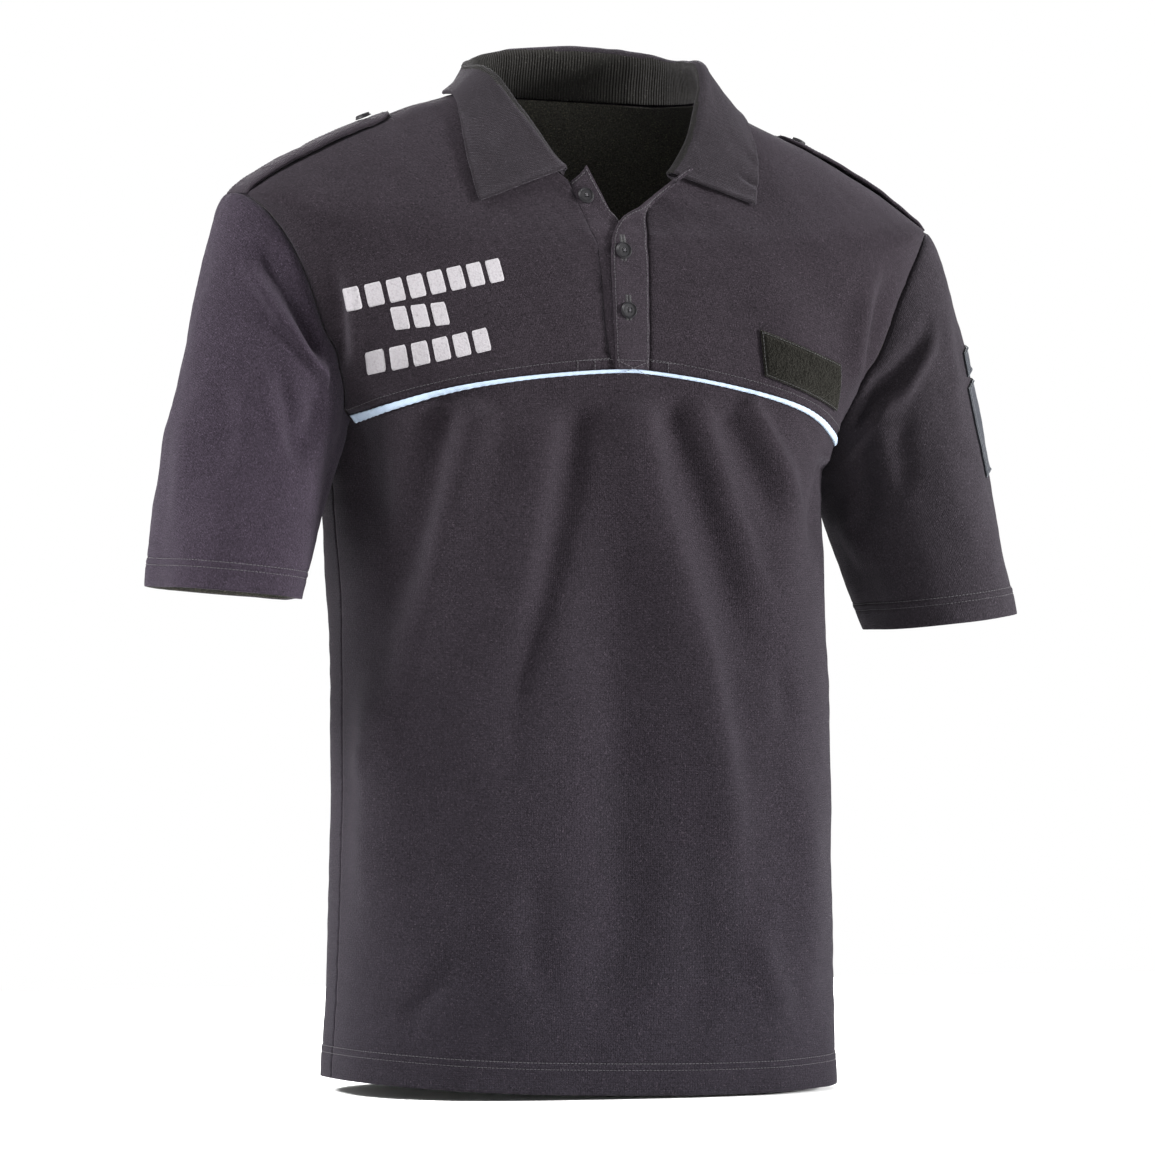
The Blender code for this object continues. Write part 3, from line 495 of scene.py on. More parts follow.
@dataclass
class Piecework:
    """Puts worked-out arrays into named objects, hung as the shirt hangs."""

    side_drop: float = 0.038
    edge_round: float = 0.0002
    made: list[str] = field(default_factory=list)

    def add(
        self, name: str, slot: str, points: Array, quads: Array, finishes: list[Material],
        uv: Array | None = None, index: Array | None = None, node: str = "",
    ) -> bpy.types.Object:
        """A mesh of quads as an object at the origin.

        The wearer's left side is let down by side_drop per metre across, and faces turn outwards.

        Args:
            name: the piece's name.
            slot: not used.
            points: its corners, before the side drop.
            quads: four corner numbers a face; a face whose last two are the same is a triangle.
            finishes: its materials.
            uv: two numbers for each corner of each quad, in metres on the flat cloth.
            index: which material each face has.
            node: the node that it stands for, if any.
        """
        hung = np.array(points, float).reshape(-1, 3)
        hung[:, 2] -= self.side_drop * hung[:, 0]
        triangle = quads[:, 2] == quads[:, 3]
        if uv is None:
            uv = hung[quads][..., [0, 2]]
        across = hung[quads[:, 2:]] - hung[quads[:, :2]]
        if (np.cross(across[:, 0], across[:, 1]) * hung[quads].mean(axis=1)).sum() < 0:
            quads, uv = quads[:, ::-1], uv[:, ::-1]
            quads = np.where(triangle[:, None], np.roll(quads, -1, axis=1), quads)
            uv = np.where(triangle[:, None, None], np.roll(uv, -1, axis=1), uv)
        keep = np.ones(quads.shape, bool)
        keep[triangle, 3] = False
        sizes = np.where(triangle, 3, 4)
        mesh = bpy.data.meshes.new(name)
        mesh.vertices.add(len(hung))
        mesh.vertices.foreach_set("co", hung.astype(np.float32).ravel())
        mesh.loops.add(sizes.sum())
        mesh.loops.foreach_set("vertex_index", quads[keep].astype(np.int32))
        mesh.polygons.add(len(quads))
        mesh.polygons.foreach_set("loop_start", (np.cumsum(sizes) - sizes).astype(np.int32))
        mesh.polygons.foreach_set("use_smooth", np.ones(len(quads), bool))
        mesh.uv_layers.new(name="cloth").uv.foreach_set("vector", uv[keep].astype(np.float32).ravel())
        for finish in finishes:
            mesh.materials.append(finish)
        if index is not None:
            mesh.polygons.foreach_set("material_index", index.astype(np.int32))
        mesh.update(calc_edges=True)
        mesh.validate()
        made = bpy.data.objects.new(name, mesh)
        bpy.context.scene.collection.objects.link(made)
        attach(made, "root")
        if node:
            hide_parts(node)
        self.made.append(name)
        return made

    def shell(
        self, name: str, slot: str, node: str, worn: Place, thickness: Array | float,
        finishes: list[Material], ring: bool,
    ) -> bpy.types.Object:
        """Cloth of a real thickness: a grid of outer points and the same grid moved inwards.

        The cut edges' corners are drawn in by edge_round. The finishes are the outer one, then the
        inner one if it differs, and a ring joins its last column to its first.
        """
        rows, columns = worn.points.shape[:2]
        normal = grid_normals(worn.points, worn.outward, ring)
        border = np.ones((rows, columns, 1))
        border[1:-1, slice(None) if ring else slice(1, -1)] = 0.0
        top = worn.points - normal * border * self.edge_round
        base = worn.points - normal * (np.asarray(thickness, float)[..., None] - border * self.edge_round)
        closed = np.concatenate([worn.points, worn.points[:, :1]], axis=1) if ring else worn.points
        u = run_length(closed, 1)
        flat = np.stack([u - u[:, [u.shape[1] // 2]], run_length(closed, 0)], axis=-1).reshape(-1, 2)
        corner, spot = numbers(rows, columns, ring), numbers(*closed.shape[:2])
        half = rows * columns
        quads, uv = cells(corner), flat[cells(spot)]
        faces, uvs = [quads, quads[:, ::-1] + half], [uv, uv[:, ::-1]]
        rims = [(corner[0], spot[0], 1), (corner[-1], spot[-1], -1)]
        if not ring:
            rims += [(corner[:, 0], spot[:, 0], -1), (corner[:, -1], spot[:, -1], 1)]
        for line, place, way in rims:
            a, b = line[:-1], line[1:]
            faces.append(np.stack([a, half + a, half + b, b], 1)[:, ::way])
            a, b = place[:-1], place[1:]
            uvs.append(flat[np.stack([a, a, b, b], 1)][:, ::way])
        order = np.concatenate(faces)
        index = np.zeros(len(order), int)
        index[len(quads) : 2 * len(quads)] = len(finishes) - 1
        points = np.concatenate([top.reshape(-1, 3), base.reshape(-1, 3)])
        return self.add(name, slot, points, order, finishes, np.concatenate(uvs), index, node)

    def threads(
        self, name: str, slot: str, rows: list[Place], finish: Material, pitch: float = 0.0027,
        length: float = 0.0021, radius: float = 0.00026, arch: float = 0.00018,
    ) -> bpy.types.Object:
        """Rows of machine stitches: each a short thread that arches out of the cloth.

        A stitch is four rings of four corners along its length; its ends dip into the cloth, as
        height = arch * (1 - s^2) for s from -1 to 1. Stitches start every pitch along the rows.
        """
        station = np.array([-1.0, -0.55, 0.55, 1.0])[None, :, None]
        width = np.array([0.35, 0.95, 0.95, 0.35])[None, :, None, None]
        corner = (np.arange(4) * np.pi / 2 + np.pi / 4)[None, :, None]
        stitches = []
        for row in rows:
            along = run_length(row.points, 0)
            if along[-1] < pitch:
                continue
            places = np.arange(pitch / 2, along[-1], pitch)
            centre, ahead, behind, out = (
                np.stack([np.interp(places + step, along, values[:, i]) for i in range(3)], 1)[:, None]
                for step, values in (
                    (0.0, row.points), (1e-4, row.points), (-1e-4, row.points), (0.0, row.outward),
                )
            )
            tangent, out = unit(ahead - behind), unit(out)
            spoke = np.cos(corner) * out + np.sin(corner) * unit(np.cross(tangent, out))
            line = centre + tangent * station * length / 2 + out * arch * (1 - station**2)
            stitches.append((line[:, :, None] + spoke[:, None] * radius * width).reshape(-1, 3))
        points = np.concatenate(stitches)
        caps = np.array([[3, 2, 1, 0], [12, 13, 14, 15]])
        one = np.concatenate([cells(numbers(4, 4, True)), caps])
        quads = np.arange(0, len(points), 16)[:, None, None] + one
        return self.add(name, slot, points, quads.reshape(-1, 4), [finish])


# ---------------------------------------------------------------- working on a piece's own grid


class Border(Enum):
    """The four borders of a piece's grid."""

    FIRST = "first row"
    LAST = "last row"
    LEFT = "first column"
    RIGHT = "last column"

    def first(self, grid: Array) -> Array:
        """The grid turned so that this border is its first row."""
        if self in (Border.LEFT, Border.RIGHT):
            grid = grid.swapaxes(0, 1)
        return grid[::-1] if self in (Border.LAST, Border.RIGHT) else grid


def border_distance(points: Array, *borders: Border) -> Array:
    """How far each grid point is, along the grid's lines, from the nearest of these borders."""
    lengths = []
    for border in borders:
        away = run_length(border.first(points), 0)
        away = away[::-1] if border in (Border.LAST, Border.RIGHT) else away
        lengths.append(away.swapaxes(0, 1) if border in (Border.LEFT, Border.RIGHT) else away)
    return np.minimum.reduce(lengths)


def seam_lift(
    points: Array, borders: tuple[Border, ...], dip: float = 0.0009, pucker: float = 0.0003
) -> Array:
    """The cloth's rise and fall beside its sewn borders.

    For each border the rise is -dip * exp(-(d / 1.8 mm)^2) + pucker * w(s) * (d / 3 mm) *
    exp(1 - d / 3 mm), where d is the distance from it and w(s) an uneven wave 7.5 mm long.
    """
    total = np.zeros(points.shape[:2])
    for border in borders:
        away = border_distance(points, border)
        along = run_length(border.first(points)[0], 0)
        along = along[:, None] if border in (Border.LEFT, Border.RIGHT) else along
        wave = np.sin(2 * np.pi * along / 0.0075 + 1.3 * np.sin(2 * np.pi * along / 0.023))
        wave = wave * (0.6 + 0.4 * np.sin(2 * np.pi * along / 0.041))
        total = total - dip * bell(away, 0.0018) + pucker * wave * (away / 0.003) * np.exp(1 - away / 0.003)
    return total


@dataclass(frozen=True)
class Hem:
    """A turned hem: its depth and the places of its stitch rows, from the edge."""

    band: float
    rows: Spot
    rise: float = 0.0006
    cloth: float = 0.0012

    def lift(self, away: Array) -> Array:
        """The rise over the band, with a groove 0.5 mm deep under each stitch row."""
        grooves = sum(bell(away - row, 0.0012) for row in self.rows)
        return self.rise * smooth(self.band + 0.0012, self.band - 0.0012, away) - 0.0005 * grooves

    def thickness(self, away: Array) -> Array:
        """The cloth, doubled in the hem."""
        return self.cloth + 0.0009 * smooth(self.band + 0.001, self.band - 0.001, away)


@dataclass
class Cloth:
    """A piece that has been made, with the grid of its outer face."""

    made: bpy.types.Object
    outer: Array
    normal: Array
    ring: bool

    def line(self, border: Border, inset: float, start: float = 0.0, end: float = 1.0) -> Place:
        """The line that keeps one distance from a border, between two shares of its length."""
        points, normal = border.first(self.outer), border.first(self.normal)
        away = run_length(points, 0)
        below = np.clip((away < inset).sum(axis=0) - 1, 0, len(points) - 2)
        column = np.arange(points.shape[1])
        first, second = away[below, column], away[below + 1, column]
        share = np.clip((inset - first) / np.maximum(second - first, 1e-9), 0.0, 1.0)[:, None]
        line = points[below, column] * (1 - share) + points[below + 1, column] * share
        out = normal[below, column]
        if self.ring:
            line, out = np.concatenate([line, line[:1]]), np.concatenate([out, out[:1]])
        keep = slice(round(start * (len(line) - 1)), round(end * (len(line) - 1)) + 1)
        return Place(line[keep], out[keep])


# ---------------------------------------------------------------- finishes


@dataclass
class Recipe:
    """A procedural material in the making."""

    name: str
    material: Material = field(init=False)

    def __post_init__(self) -> None:
        """Starts from an empty shader."""
        self.material = bpy.data.materials.new(self.name)
        self.material.use_nodes = True
        self.shader = self.material.node_tree.nodes["Principled BSDF"]

    def join(self, value: object, socket: Socket) -> None:
        """Links an output to an input, or sets the input's own number or colour."""
        if isinstance(value, Socket):
            self.material.node_tree.links.new(value, socket)
        else:
            socket.default_value = value

    def node(
        self, kind: str, sockets: dict[str | int, object], out: str | int = 0, **settings: object
    ) -> Socket:
        """One output of a new node, given its inputs and its own settings."""
        made = self.material.node_tree.nodes.new("ShaderNode" + kind)
        for key, value in settings.items():
            setattr(made, key, value)
        for key, value in sockets.items():
            self.join(value, made.inputs[key])
        return made.outputs[out]

    def place(self, scale: Colour, turn: float = 0.0, flat: bool = True) -> Socket:
        """The cloth's own coordinates, or the object's, scaled and turned."""
        source = self.node("UVMap", {}, "UV", uv_map="cloth") if flat else self.node("TexCoord", {}, "Object")
        return self.node("Mapping", {"Vector": source, "Rotation": (0.0, 0.0, turn), "Scale": scale})

    def noise(self, per_metre: float, detail: float) -> Socket:
        """Soft noise with so many blotches a metre."""
        where = self.place((per_metre,) * 3, flat=False)
        sockets = {"Vector": where, "Scale": 1.0, "Detail": detail, "Roughness": 0.6}
        return self.node("TexNoise", sockets, "Fac")

    def cells(self, scale: Colour, flat: bool = False) -> Socket:
        """Distance into the nearest cell: staggered on the flat cloth, or scattered in space."""
        sockets = {"Vector": self.place(scale, flat=flat), "Scale": 1.0, "Randomness": 0.45 if flat else 1.0}
        return self.node("TexVoronoi", sockets, "Distance", voronoi_dimensions="2D" if flat else "3D")

    def wave(self, pitch: float, turn: float = 0.0) -> Socket:
        """A sine across the flat cloth, turned."""
        where = self.place((2 * math.pi / pitch,) * 3, turn)
        return self.node("Math", {0: self.node("SeparateXYZ", {0: where}, "X")}, operation="SINE")

    def ranged(self, value: Socket, low: float, high: float, to_low: float, to_high: float) -> Socket:
        """A value moved from one range to another, and held inside it."""
        ends = {"From Min": low, "From Max": high, "To Min": to_low, "To Max": to_high}
        return self.node("MapRange", {"Value": value, **ends})

    def plus(self, first: Socket, second: Socket | float) -> Socket:
        """Two values added."""
        return self.node("Math", {0: first, 1: second}, operation="ADD")

    def times(self, first: Socket, second: Socket | float) -> Socket:
        """Two values multiplied."""
        return self.node("Math", {0: first, 1: second}, operation="MULTIPLY")

    def mixed(self, share: Socket | float, first: object, second: object, blend: str = "MIX") -> Socket:
        """Two colours mixed by a share."""
        one, two = (part if isinstance(part, Socket) else (*part, 1.0) for part in (first, second))
        return self.node("Mix", {0: share, 6: one, 7: two}, 2, data_type="RGBA", blend_type=blend)

    def toned(self, colour: object, tone: Socket) -> Socket:
        """A colour made lighter or darker by a tone."""
        return self.mixed(1.0, colour, self.node("CombineXYZ", {0: tone, 1: tone, 2: tone}), "MULTIPLY")

    def finish(
        self, colour: Socket, roughness: Socket | float, height: Socket | None, depth: float,
        sheen: float = 0.0, sheen_tint: Colour = (1.0, 1.0, 1.0), specular: float = 0.5,
    ) -> Material:
        """Joins colour, roughness and relief to the shader, and sets its sheen on its own sockets."""
        sockets = {
            "Base Color": colour, "Roughness": roughness, "Sheen Weight": sheen, "Sheen Roughness": 0.45,
            "Sheen Tint": (*sheen_tint, 1.0), "Specular IOR Level": specular,
        }
        if height is not None:
            sockets["Normal"] = self.node("Bump", {"Height": height, "Strength": 1.0, "Distance": depth})
        for key, value in sockets.items():
            self.join(value, self.shader.inputs[key])
        return self.material


@dataclass(frozen=True)
class KnitFinish:
    """A cotton knit: a small stitch pattern, flecks, painted shade between its stitches and in its rib
    grooves, and a slow drift of colour down the garment.
    """

    name: str
    colour: Colour
    low_colour: Colour
    cell: float = 0.0013
    depth: float = 0.00045
    sheen: float = 0.05
    fleck: float = 0.50
    rib: float = 0.0
    rib_pitch: float = 0.0022
    speckle: Colour | None = None

    def make(self) -> Material:
        """Relief is a staggered cell pattern plus yarn noise, ribs a sine across; where the relief is low the
        colour is painted darker as shade.
        """
        recipe = Recipe(self.name)
        per = 1 / self.cell
        knit = recipe.cells((per, per * 0.8, per), flat=True)
        fuzz = recipe.noise(720.0, 3.0)
        height = recipe.plus(recipe.times(knit, -0.9), recipe.times(recipe.noise(1500.0, 2.0), 0.55))
        height = recipe.plus(height, recipe.times(fuzz, 0.8))
        patch = recipe.ranged(recipe.noise(34.0, 3.0), 0.3, 0.7, 0.93, 1.07)
        tone = recipe.times(recipe.ranged(fuzz, 0.3, 0.7, 1 - self.fleck, 1 + self.fleck), patch)
        # painted shade: the gaps between the knit's cells are coloured darker and their middles lighter
        tone = recipe.times(tone, recipe.ranged(knit, 0.0, 0.75, 1.14, 0.72))
        if self.rib:
            wave = recipe.wave(self.rib_pitch)
            height = recipe.plus(height, recipe.times(wave, self.rib))
            # painted shade: the rib grooves are coloured darker
            tone = recipe.times(tone, recipe.ranged(wave, -1.0, 1.0, 1 - 0.35 * min(self.rib, 1.0), 1.0))
        up = recipe.node("SeparateXYZ", {0: recipe.place((1.0, 1.0, 1.0), flat=False)}, "Z")
        colour = recipe.mixed(recipe.ranged(up, -0.20, -0.68, 0.0, 1.0), self.colour, self.low_colour)
        colour = recipe.toned(colour, tone)
        pale = self.speckle or tuple(2.6 * part for part in self.colour)
        low = 0.60 if self.speckle else 0.62
        dots = recipe.ranged(recipe.noise(900.0, 1.0), low, low + 0.12, 0.0, 0.8)
        rough = recipe.ranged(fuzz, 0.3, 0.7, 0.86, 0.98)
        colour = recipe.mixed(dots, colour, pale)
        return recipe.finish(colour, rough, height, self.depth, self.sheen, (0.93, 0.86, 1.0), 0.03)


@dataclass(frozen=True)
class TapeFinish:
    """A flat woven or twill tape: fine slanting lines with slightly uneven colour."""

    name: str
    colour: Colour
    shade: Colour
    pitch: float = 0.0011
    slant: float = 0.7

    def make(self) -> Material:
        """Relief is a slanting sine of the pitch, broken up by noise."""
        recipe = Recipe(self.name)
        wave = recipe.wave(self.pitch, self.slant)
        patch = recipe.ranged(recipe.noise(60.0, 2.0), 0.3, 0.7, 0.0, 0.45)
        share = recipe.plus(recipe.ranged(wave, -1.0, 1.0, 0.0, 0.55), patch)
        height = recipe.plus(recipe.times(wave, 0.5), recipe.noise(800.0, 3.0))
        colour = recipe.mixed(share, self.colour, self.shade)
        return recipe.finish(colour, 0.75, height, 0.00018, 0.10, specular=0.15)


@dataclass(frozen=True)
class PileFinish:
    """Loop pile: dense tangled loops of dull olive black, painted paler on their tops as light and darker
    between them as shade.
    """

    name: str
    colour: Colour
    # the paler colour painted on the loops' tops as light
    tip: Colour

    def make(self) -> Material:
        """Relief is loop cells and fuzz; the colour follows the cells as painted light and shade, with uneven
        noise patches of the pile's own.
        """
        recipe = Recipe(self.name)
        loops = recipe.cells((900.0,) * 3)
        patch = recipe.ranged(recipe.noise(150.0, 3.0), 0.35, 0.65, -0.1, 0.35)
        share = recipe.plus(recipe.ranged(loops, 0.1, 0.7, 0.75, 0.0), patch)
        height = recipe.plus(recipe.times(loops, -1.2), recipe.noise(1400.0, 3.0))
        colour = recipe.mixed(share, self.colour, self.tip)
        return recipe.finish(colour, 0.95, height, 0.0006, 0.05, (1.0, 0.97, 0.85), 0.03)


@dataclass(frozen=True)
class ResinFinish:
    """Polished button resin with faint scuffs and clouding."""

    name: str
    colour: Colour
    cloud: Colour

    def make(self) -> Material:
        """Colour clouds slowly; roughness rises where noise marks a scuff."""
        recipe = Recipe(self.name)
        scuff = recipe.noise(1300.0, 4.0)
        cloud = recipe.ranged(recipe.noise(260.0, 4.0), 0.35, 0.7, 0.0, 1.0)
        rough = recipe.ranged(scuff, 0.4, 0.75, 0.40, 0.58)
        mixed = recipe.mixed(cloud, self.colour, self.cloud)
        return recipe.finish(mixed, rough, scuff, 0.00003, specular=0.16)


@dataclass(frozen=True)
class ThreadFinish:
    """Sewing thread, uneven in colour along the seams and within each stitch."""

    name: str
    colour: Colour

    def make(self) -> Material:
        """Tone is a fine noise times a slow one."""
        recipe = Recipe(self.name)
        fine = recipe.noise(2500.0, 2.0)
        slow = recipe.ranged(recipe.noise(90.0, 2.0), 0.3, 0.7, 0.85, 1.15)
        tone = recipe.times(recipe.ranged(fine, 0.3, 0.7, 0.75, 1.25), slow)
        return recipe.finish(recipe.toned(self.colour, tone), 0.7, fine, 0.00005, 0.2, specular=0.4)


@dataclass(frozen=True)
class PrintFinish:
    """A pale rubbery print that has sunk a little into the knit and cracked slightly."""

    name: str
    colour: Colour
    worn: Colour

    def make(self) -> Material:
        """The knit's cells show as relief, and noise marks where the print has worn thin."""
        recipe = Recipe(self.name)
        knit = recipe.cells((770.0,) * 3)
        wear = recipe.noise(500.0, 4.0)
        share = recipe.plus(
            recipe.ranged(wear, 0.55, 0.72, 0.0, 0.6), recipe.ranged(knit, 0.5, 0.85, 0.0, 0.3)
        )
        height = recipe.plus(recipe.times(knit, -0.8), wear)
        return recipe.finish(recipe.mixed(share, self.colour, self.worn), 0.8, height, 0.00025, specular=0.1)


PURPLE = (0.0125, 0.0100, 0.0124)
NAVY = (0.0108, 0.0093, 0.0122)


@dataclass
class Wardrobe:
    """Every finish of the shirt, made once."""

    def __post_init__(self) -> None:
        """Makes them all."""
        self.cotton = KnitFinish("cotton_knit_dark", PURPLE, NAVY).make()
        # The two sleeves are copies of one knit: the right sleeve's is painted lighter, more so towards its
        # hem, as light falling on it from the wearer's right, and the left sleeve's is painted darker than
        # it, as shade.
        right, right_low_lit = (0.0175, 0.0136, 0.0192), (0.0215, 0.0165, 0.0240)
        left, left_low = (0.0145, 0.0124, 0.0148), (0.0145, 0.0124, 0.0156)
        self.sleeve_cotton = {
            Hand.RIGHT: KnitFinish("cotton_knit_right_sleeve_painted_light", right, right_low_lit, fleck=0.48).make(),
            Hand.LEFT: KnitFinish("cotton_knit_left_sleeve_painted_shade", left, left_low, fleck=0.42).make(),
        }
        # The inside faces' knit is painted far lighter than the outer knit: painted light that makes up for
        # the shade inside the shirt.
        self.inside = KnitFinish(
            "cotton_knit_inside_painted_light", (0.0450, 0.0438, 0.0380), (0.0450, 0.0438, 0.0390), sheen=0.03,
            speckle=(0.120, 0.112, 0.080),
        ).make()
        self.placket = KnitFinish(
            "cotton_knit_placket", (0.0165, 0.0134, 0.0165), PURPLE, cell=0.0011, fleck=0.34,
        ).make()
        self.rib_outer = KnitFinish(
            "rib_knit_leaf", (0.0120, 0.0102, 0.0120), NAVY, cell=0.0010, rib=0.14, rib_pitch=0.0014,
            fleck=0.30, sheen=0.08,
        ).make()
        self.rib_inner = KnitFinish(
            "rib_knit_stand", (0.0170, 0.0165, 0.0148), (0.0170, 0.0165, 0.0148), cell=0.0010, rib=1.1,
            depth=0.0005, fleck=0.15, sheen=0.04,
        ).make()
        self.piping = TapeFinish("piping_tape_blue", (0.27, 0.335, 0.415), (0.20, 0.245, 0.32)).make()
        self.pile = PileFinish("loop_pile_olive", (0.0034, 0.0033, 0.0026), (0.0098, 0.0094, 0.0081)).make()
        self.resin = ResinFinish(
            "button_resin_dark", (0.0060, 0.0060, 0.0072), (0.0120, 0.0110, 0.0122)
        ).make()
        self.badge = TapeFinish(
            "badge_twill_grey", (0.010, 0.012, 0.018), (0.007, 0.008, 0.013), 0.0009
        ).make()
        self.badge_edge = TapeFinish(
            "badge_edge_pale", (0.075, 0.080, 0.088), (0.045, 0.050, 0.058), 0.0008, 1.3,
        ).make()
        self.thread = ThreadFinish("thread_purple", (0.021, 0.018, 0.0225)).make()
        self.thread_dark = ThreadFinish("thread_dark", (0.0055, 0.0050, 0.0062)).make()
        self.thread_pale = ThreadFinish("thread_pale", (0.030, 0.027, 0.033)).make()
        self.print = PrintFinish("chest_print_grey", (0.215, 0.205, 0.215), (0.120, 0.112, 0.120)).make()


# ---------------------------------------------------------------- the shirt's pieces


@dataclass
class Tailor:
    """What every sub-assembly needs: the body's form, the mesh maker and the finishes."""

    form: TorsoForm
    work: Piecework
    wardrobe: Wardrobe

    def sew(
        self, name: str, node: str, slot: str, worn: Place, thickness: Array | float, *finishes: Material,
        ring: bool = False,
    ) -> Cloth:
        """A cloth piece that stands for a node, with the finishes given."""
        made = self.work.shell(name, slot, node, worn, thickness, list(finishes), ring)
        return Cloth(made, worn.points, grid_normals(worn.points, worn.outward, ring), ring)

    def panel(self, node: str, worn: Place, thickness: Array | float) -> Cloth:
        """A panel of the body's own cloth."""
        return self.sew(
            node + "_cloth", node, "cotton_knit", worn, thickness, self.wardrobe.cotton, self.wardrobe.inside
        )

    def stitch(
        self, name: str, rows: list[Place], finish: Material | None = None, slot: str = "cotton_knit",
        **sizes: float,
    ) -> None:
        """Stitch rows as one piece, lifted just clear of their cloth."""
        rows = [row.lifted(np.full(len(row.points), 0.00012)) for row in rows]
        self.work.threads(name, slot, rows, finish or self.wardrobe.thread, **sizes)


@dataclass
class BodyPanels:
    """The front below the chest seam, the back and the two chest pieces, with hem and seams."""

    tailor: Tailor
    hem: Hem = Hem(0.0225, (0.0180, 0.0228))
    front_grid: tuple[int, int] = (205, 196)
    back_grid: tuple[int, int] = (236, 176)
    yoke_grid: tuple[int, int] = (104, 92)
    top_stitch: float = 0.0078

    def build(self) -> None:
        """All four panels, two rows round the hem and one above the chest seam."""
        hemmed = (self._front(), self._back())
        yokes = [self._yoke(hand) for hand in Hand]
        rows = [panel.line(Border.FIRST, inset) for panel in hemmed for inset in self.hem.rows]
        self.tailor.stitch("hem_stitches", rows)
        lines = [yoke.line(Border.FIRST, self.top_stitch) for yoke in yokes]
        self.tailor.stitch("chest_seam_stitches", lines)

    def _hemmed(self, node: str, worn: Place) -> Cloth:
        """A panel with side seams and a turned hem at its first row."""
        away = run_length(worn.points, 0)
        sides = seam_lift(worn.points, (Border.LEFT, Border.RIGHT), 0.0004, 0.0002)
        top = seam_lift(worn.points, (Border.LAST,)) if node == "front_panel" else 0.0
        worn = worn.lifted(top + sides + self.hem.lift(away))
        return self.tailor.panel(node, worn, self.hem.thickness(away))

    def _front(self) -> Cloth:
        """Rows run from the hem to the arched chest seam, columns across it."""
        form = self.tailor.form
        rows, columns = self.front_grid
        spread = close_ended(columns, 0.45, -1.0)
        top = np.full(columns, form.seam_side)
        for _ in range(6):
            angle = -np.pi / 2 + spread * (np.pi / 2 - form.armhole_angle(top))
            top = np.where(np.abs(spread) > 0.9999, form.seam_side, form.seam_level(angle))
        part = form.even_levels(0.0, form.seam_side, rows, 0.55, -1.2)[:, None]
        share = np.clip((part - 1.0) / (form.seam_side - 1.0), 0.0, 1.0)
        level = part + share * (top - form.seam_side)
        angle = -np.pi / 2 + spread * (np.pi / 2 - form.armhole_angle(level))
        return self._hemmed("front_panel", form.worn(angle, level))

    def _back(self) -> Cloth:
        """Rows run from the hem to the back neck, columns from the right side to the left."""
        form = self.tailor.form
        rows, columns = self.back_grid
        level = form.even_levels(0.0, form.neck, rows, 0.45, 1.35)[:, None]
        angle = np.pi / 2 - close_ended(columns, 0.45, -1.0) * (np.pi / 2 - form.armhole_angle(level))
        return self._hemmed("back_panel", form.worn(angle, level))

    def yoke_rows(self, bottom: Array, count: int) -> Array:
        """Levels from the chest seam, whose own levels are given, up to the neck."""
        form = self.tailor.form
        steps = form.even_levels(form.seam_side, form.neck, count, 0.45, -1.1)[:, None]
        return steps + (form.neck - steps) / (form.neck - form.seam_side) * (bottom - form.seam_side)

    def _yoke(self, hand: Hand) -> Cloth:
        """Columns run from the armhole and shoulder seam to the front opening."""
        form = self.tailor.form
        rows, columns = self.yoke_grid
        line = "under_seam" if hand is Hand.RIGHT else "over_seam"
        along = close_ended(columns, 0.45)
        ends = []
        for level in (np.array(form.seam_side), np.array(form.seam_centre)):
            edge = form.armhole_angle(level)
            inner = form.front_angle(form.opening_line(line, level), level)
            ends.append((-edge if hand is Hand.LEFT else edge - np.pi, inner))
        bottom = form.seam_level(ends[0][0] + (ends[1][1] - ends[0][0]) * along)
        bottom[0] = form.seam_side
        level = self.yoke_rows(bottom, rows)
        outer = form.armhole_angle(level)
        outer = -outer if hand is Hand.LEFT else outer - np.pi
        inner = form.front_angle(form.opening_line(line, level), level)
        worn = form.worn(outer + (inner - outer) * along, level)
        lift = seam_lift(worn.points, (Border.FIRST, Border.LEFT, Border.RIGHT))
        return self.tailor.panel(f"yoke_{hand.word}", worn.lifted(lift), self.hem.cloth)


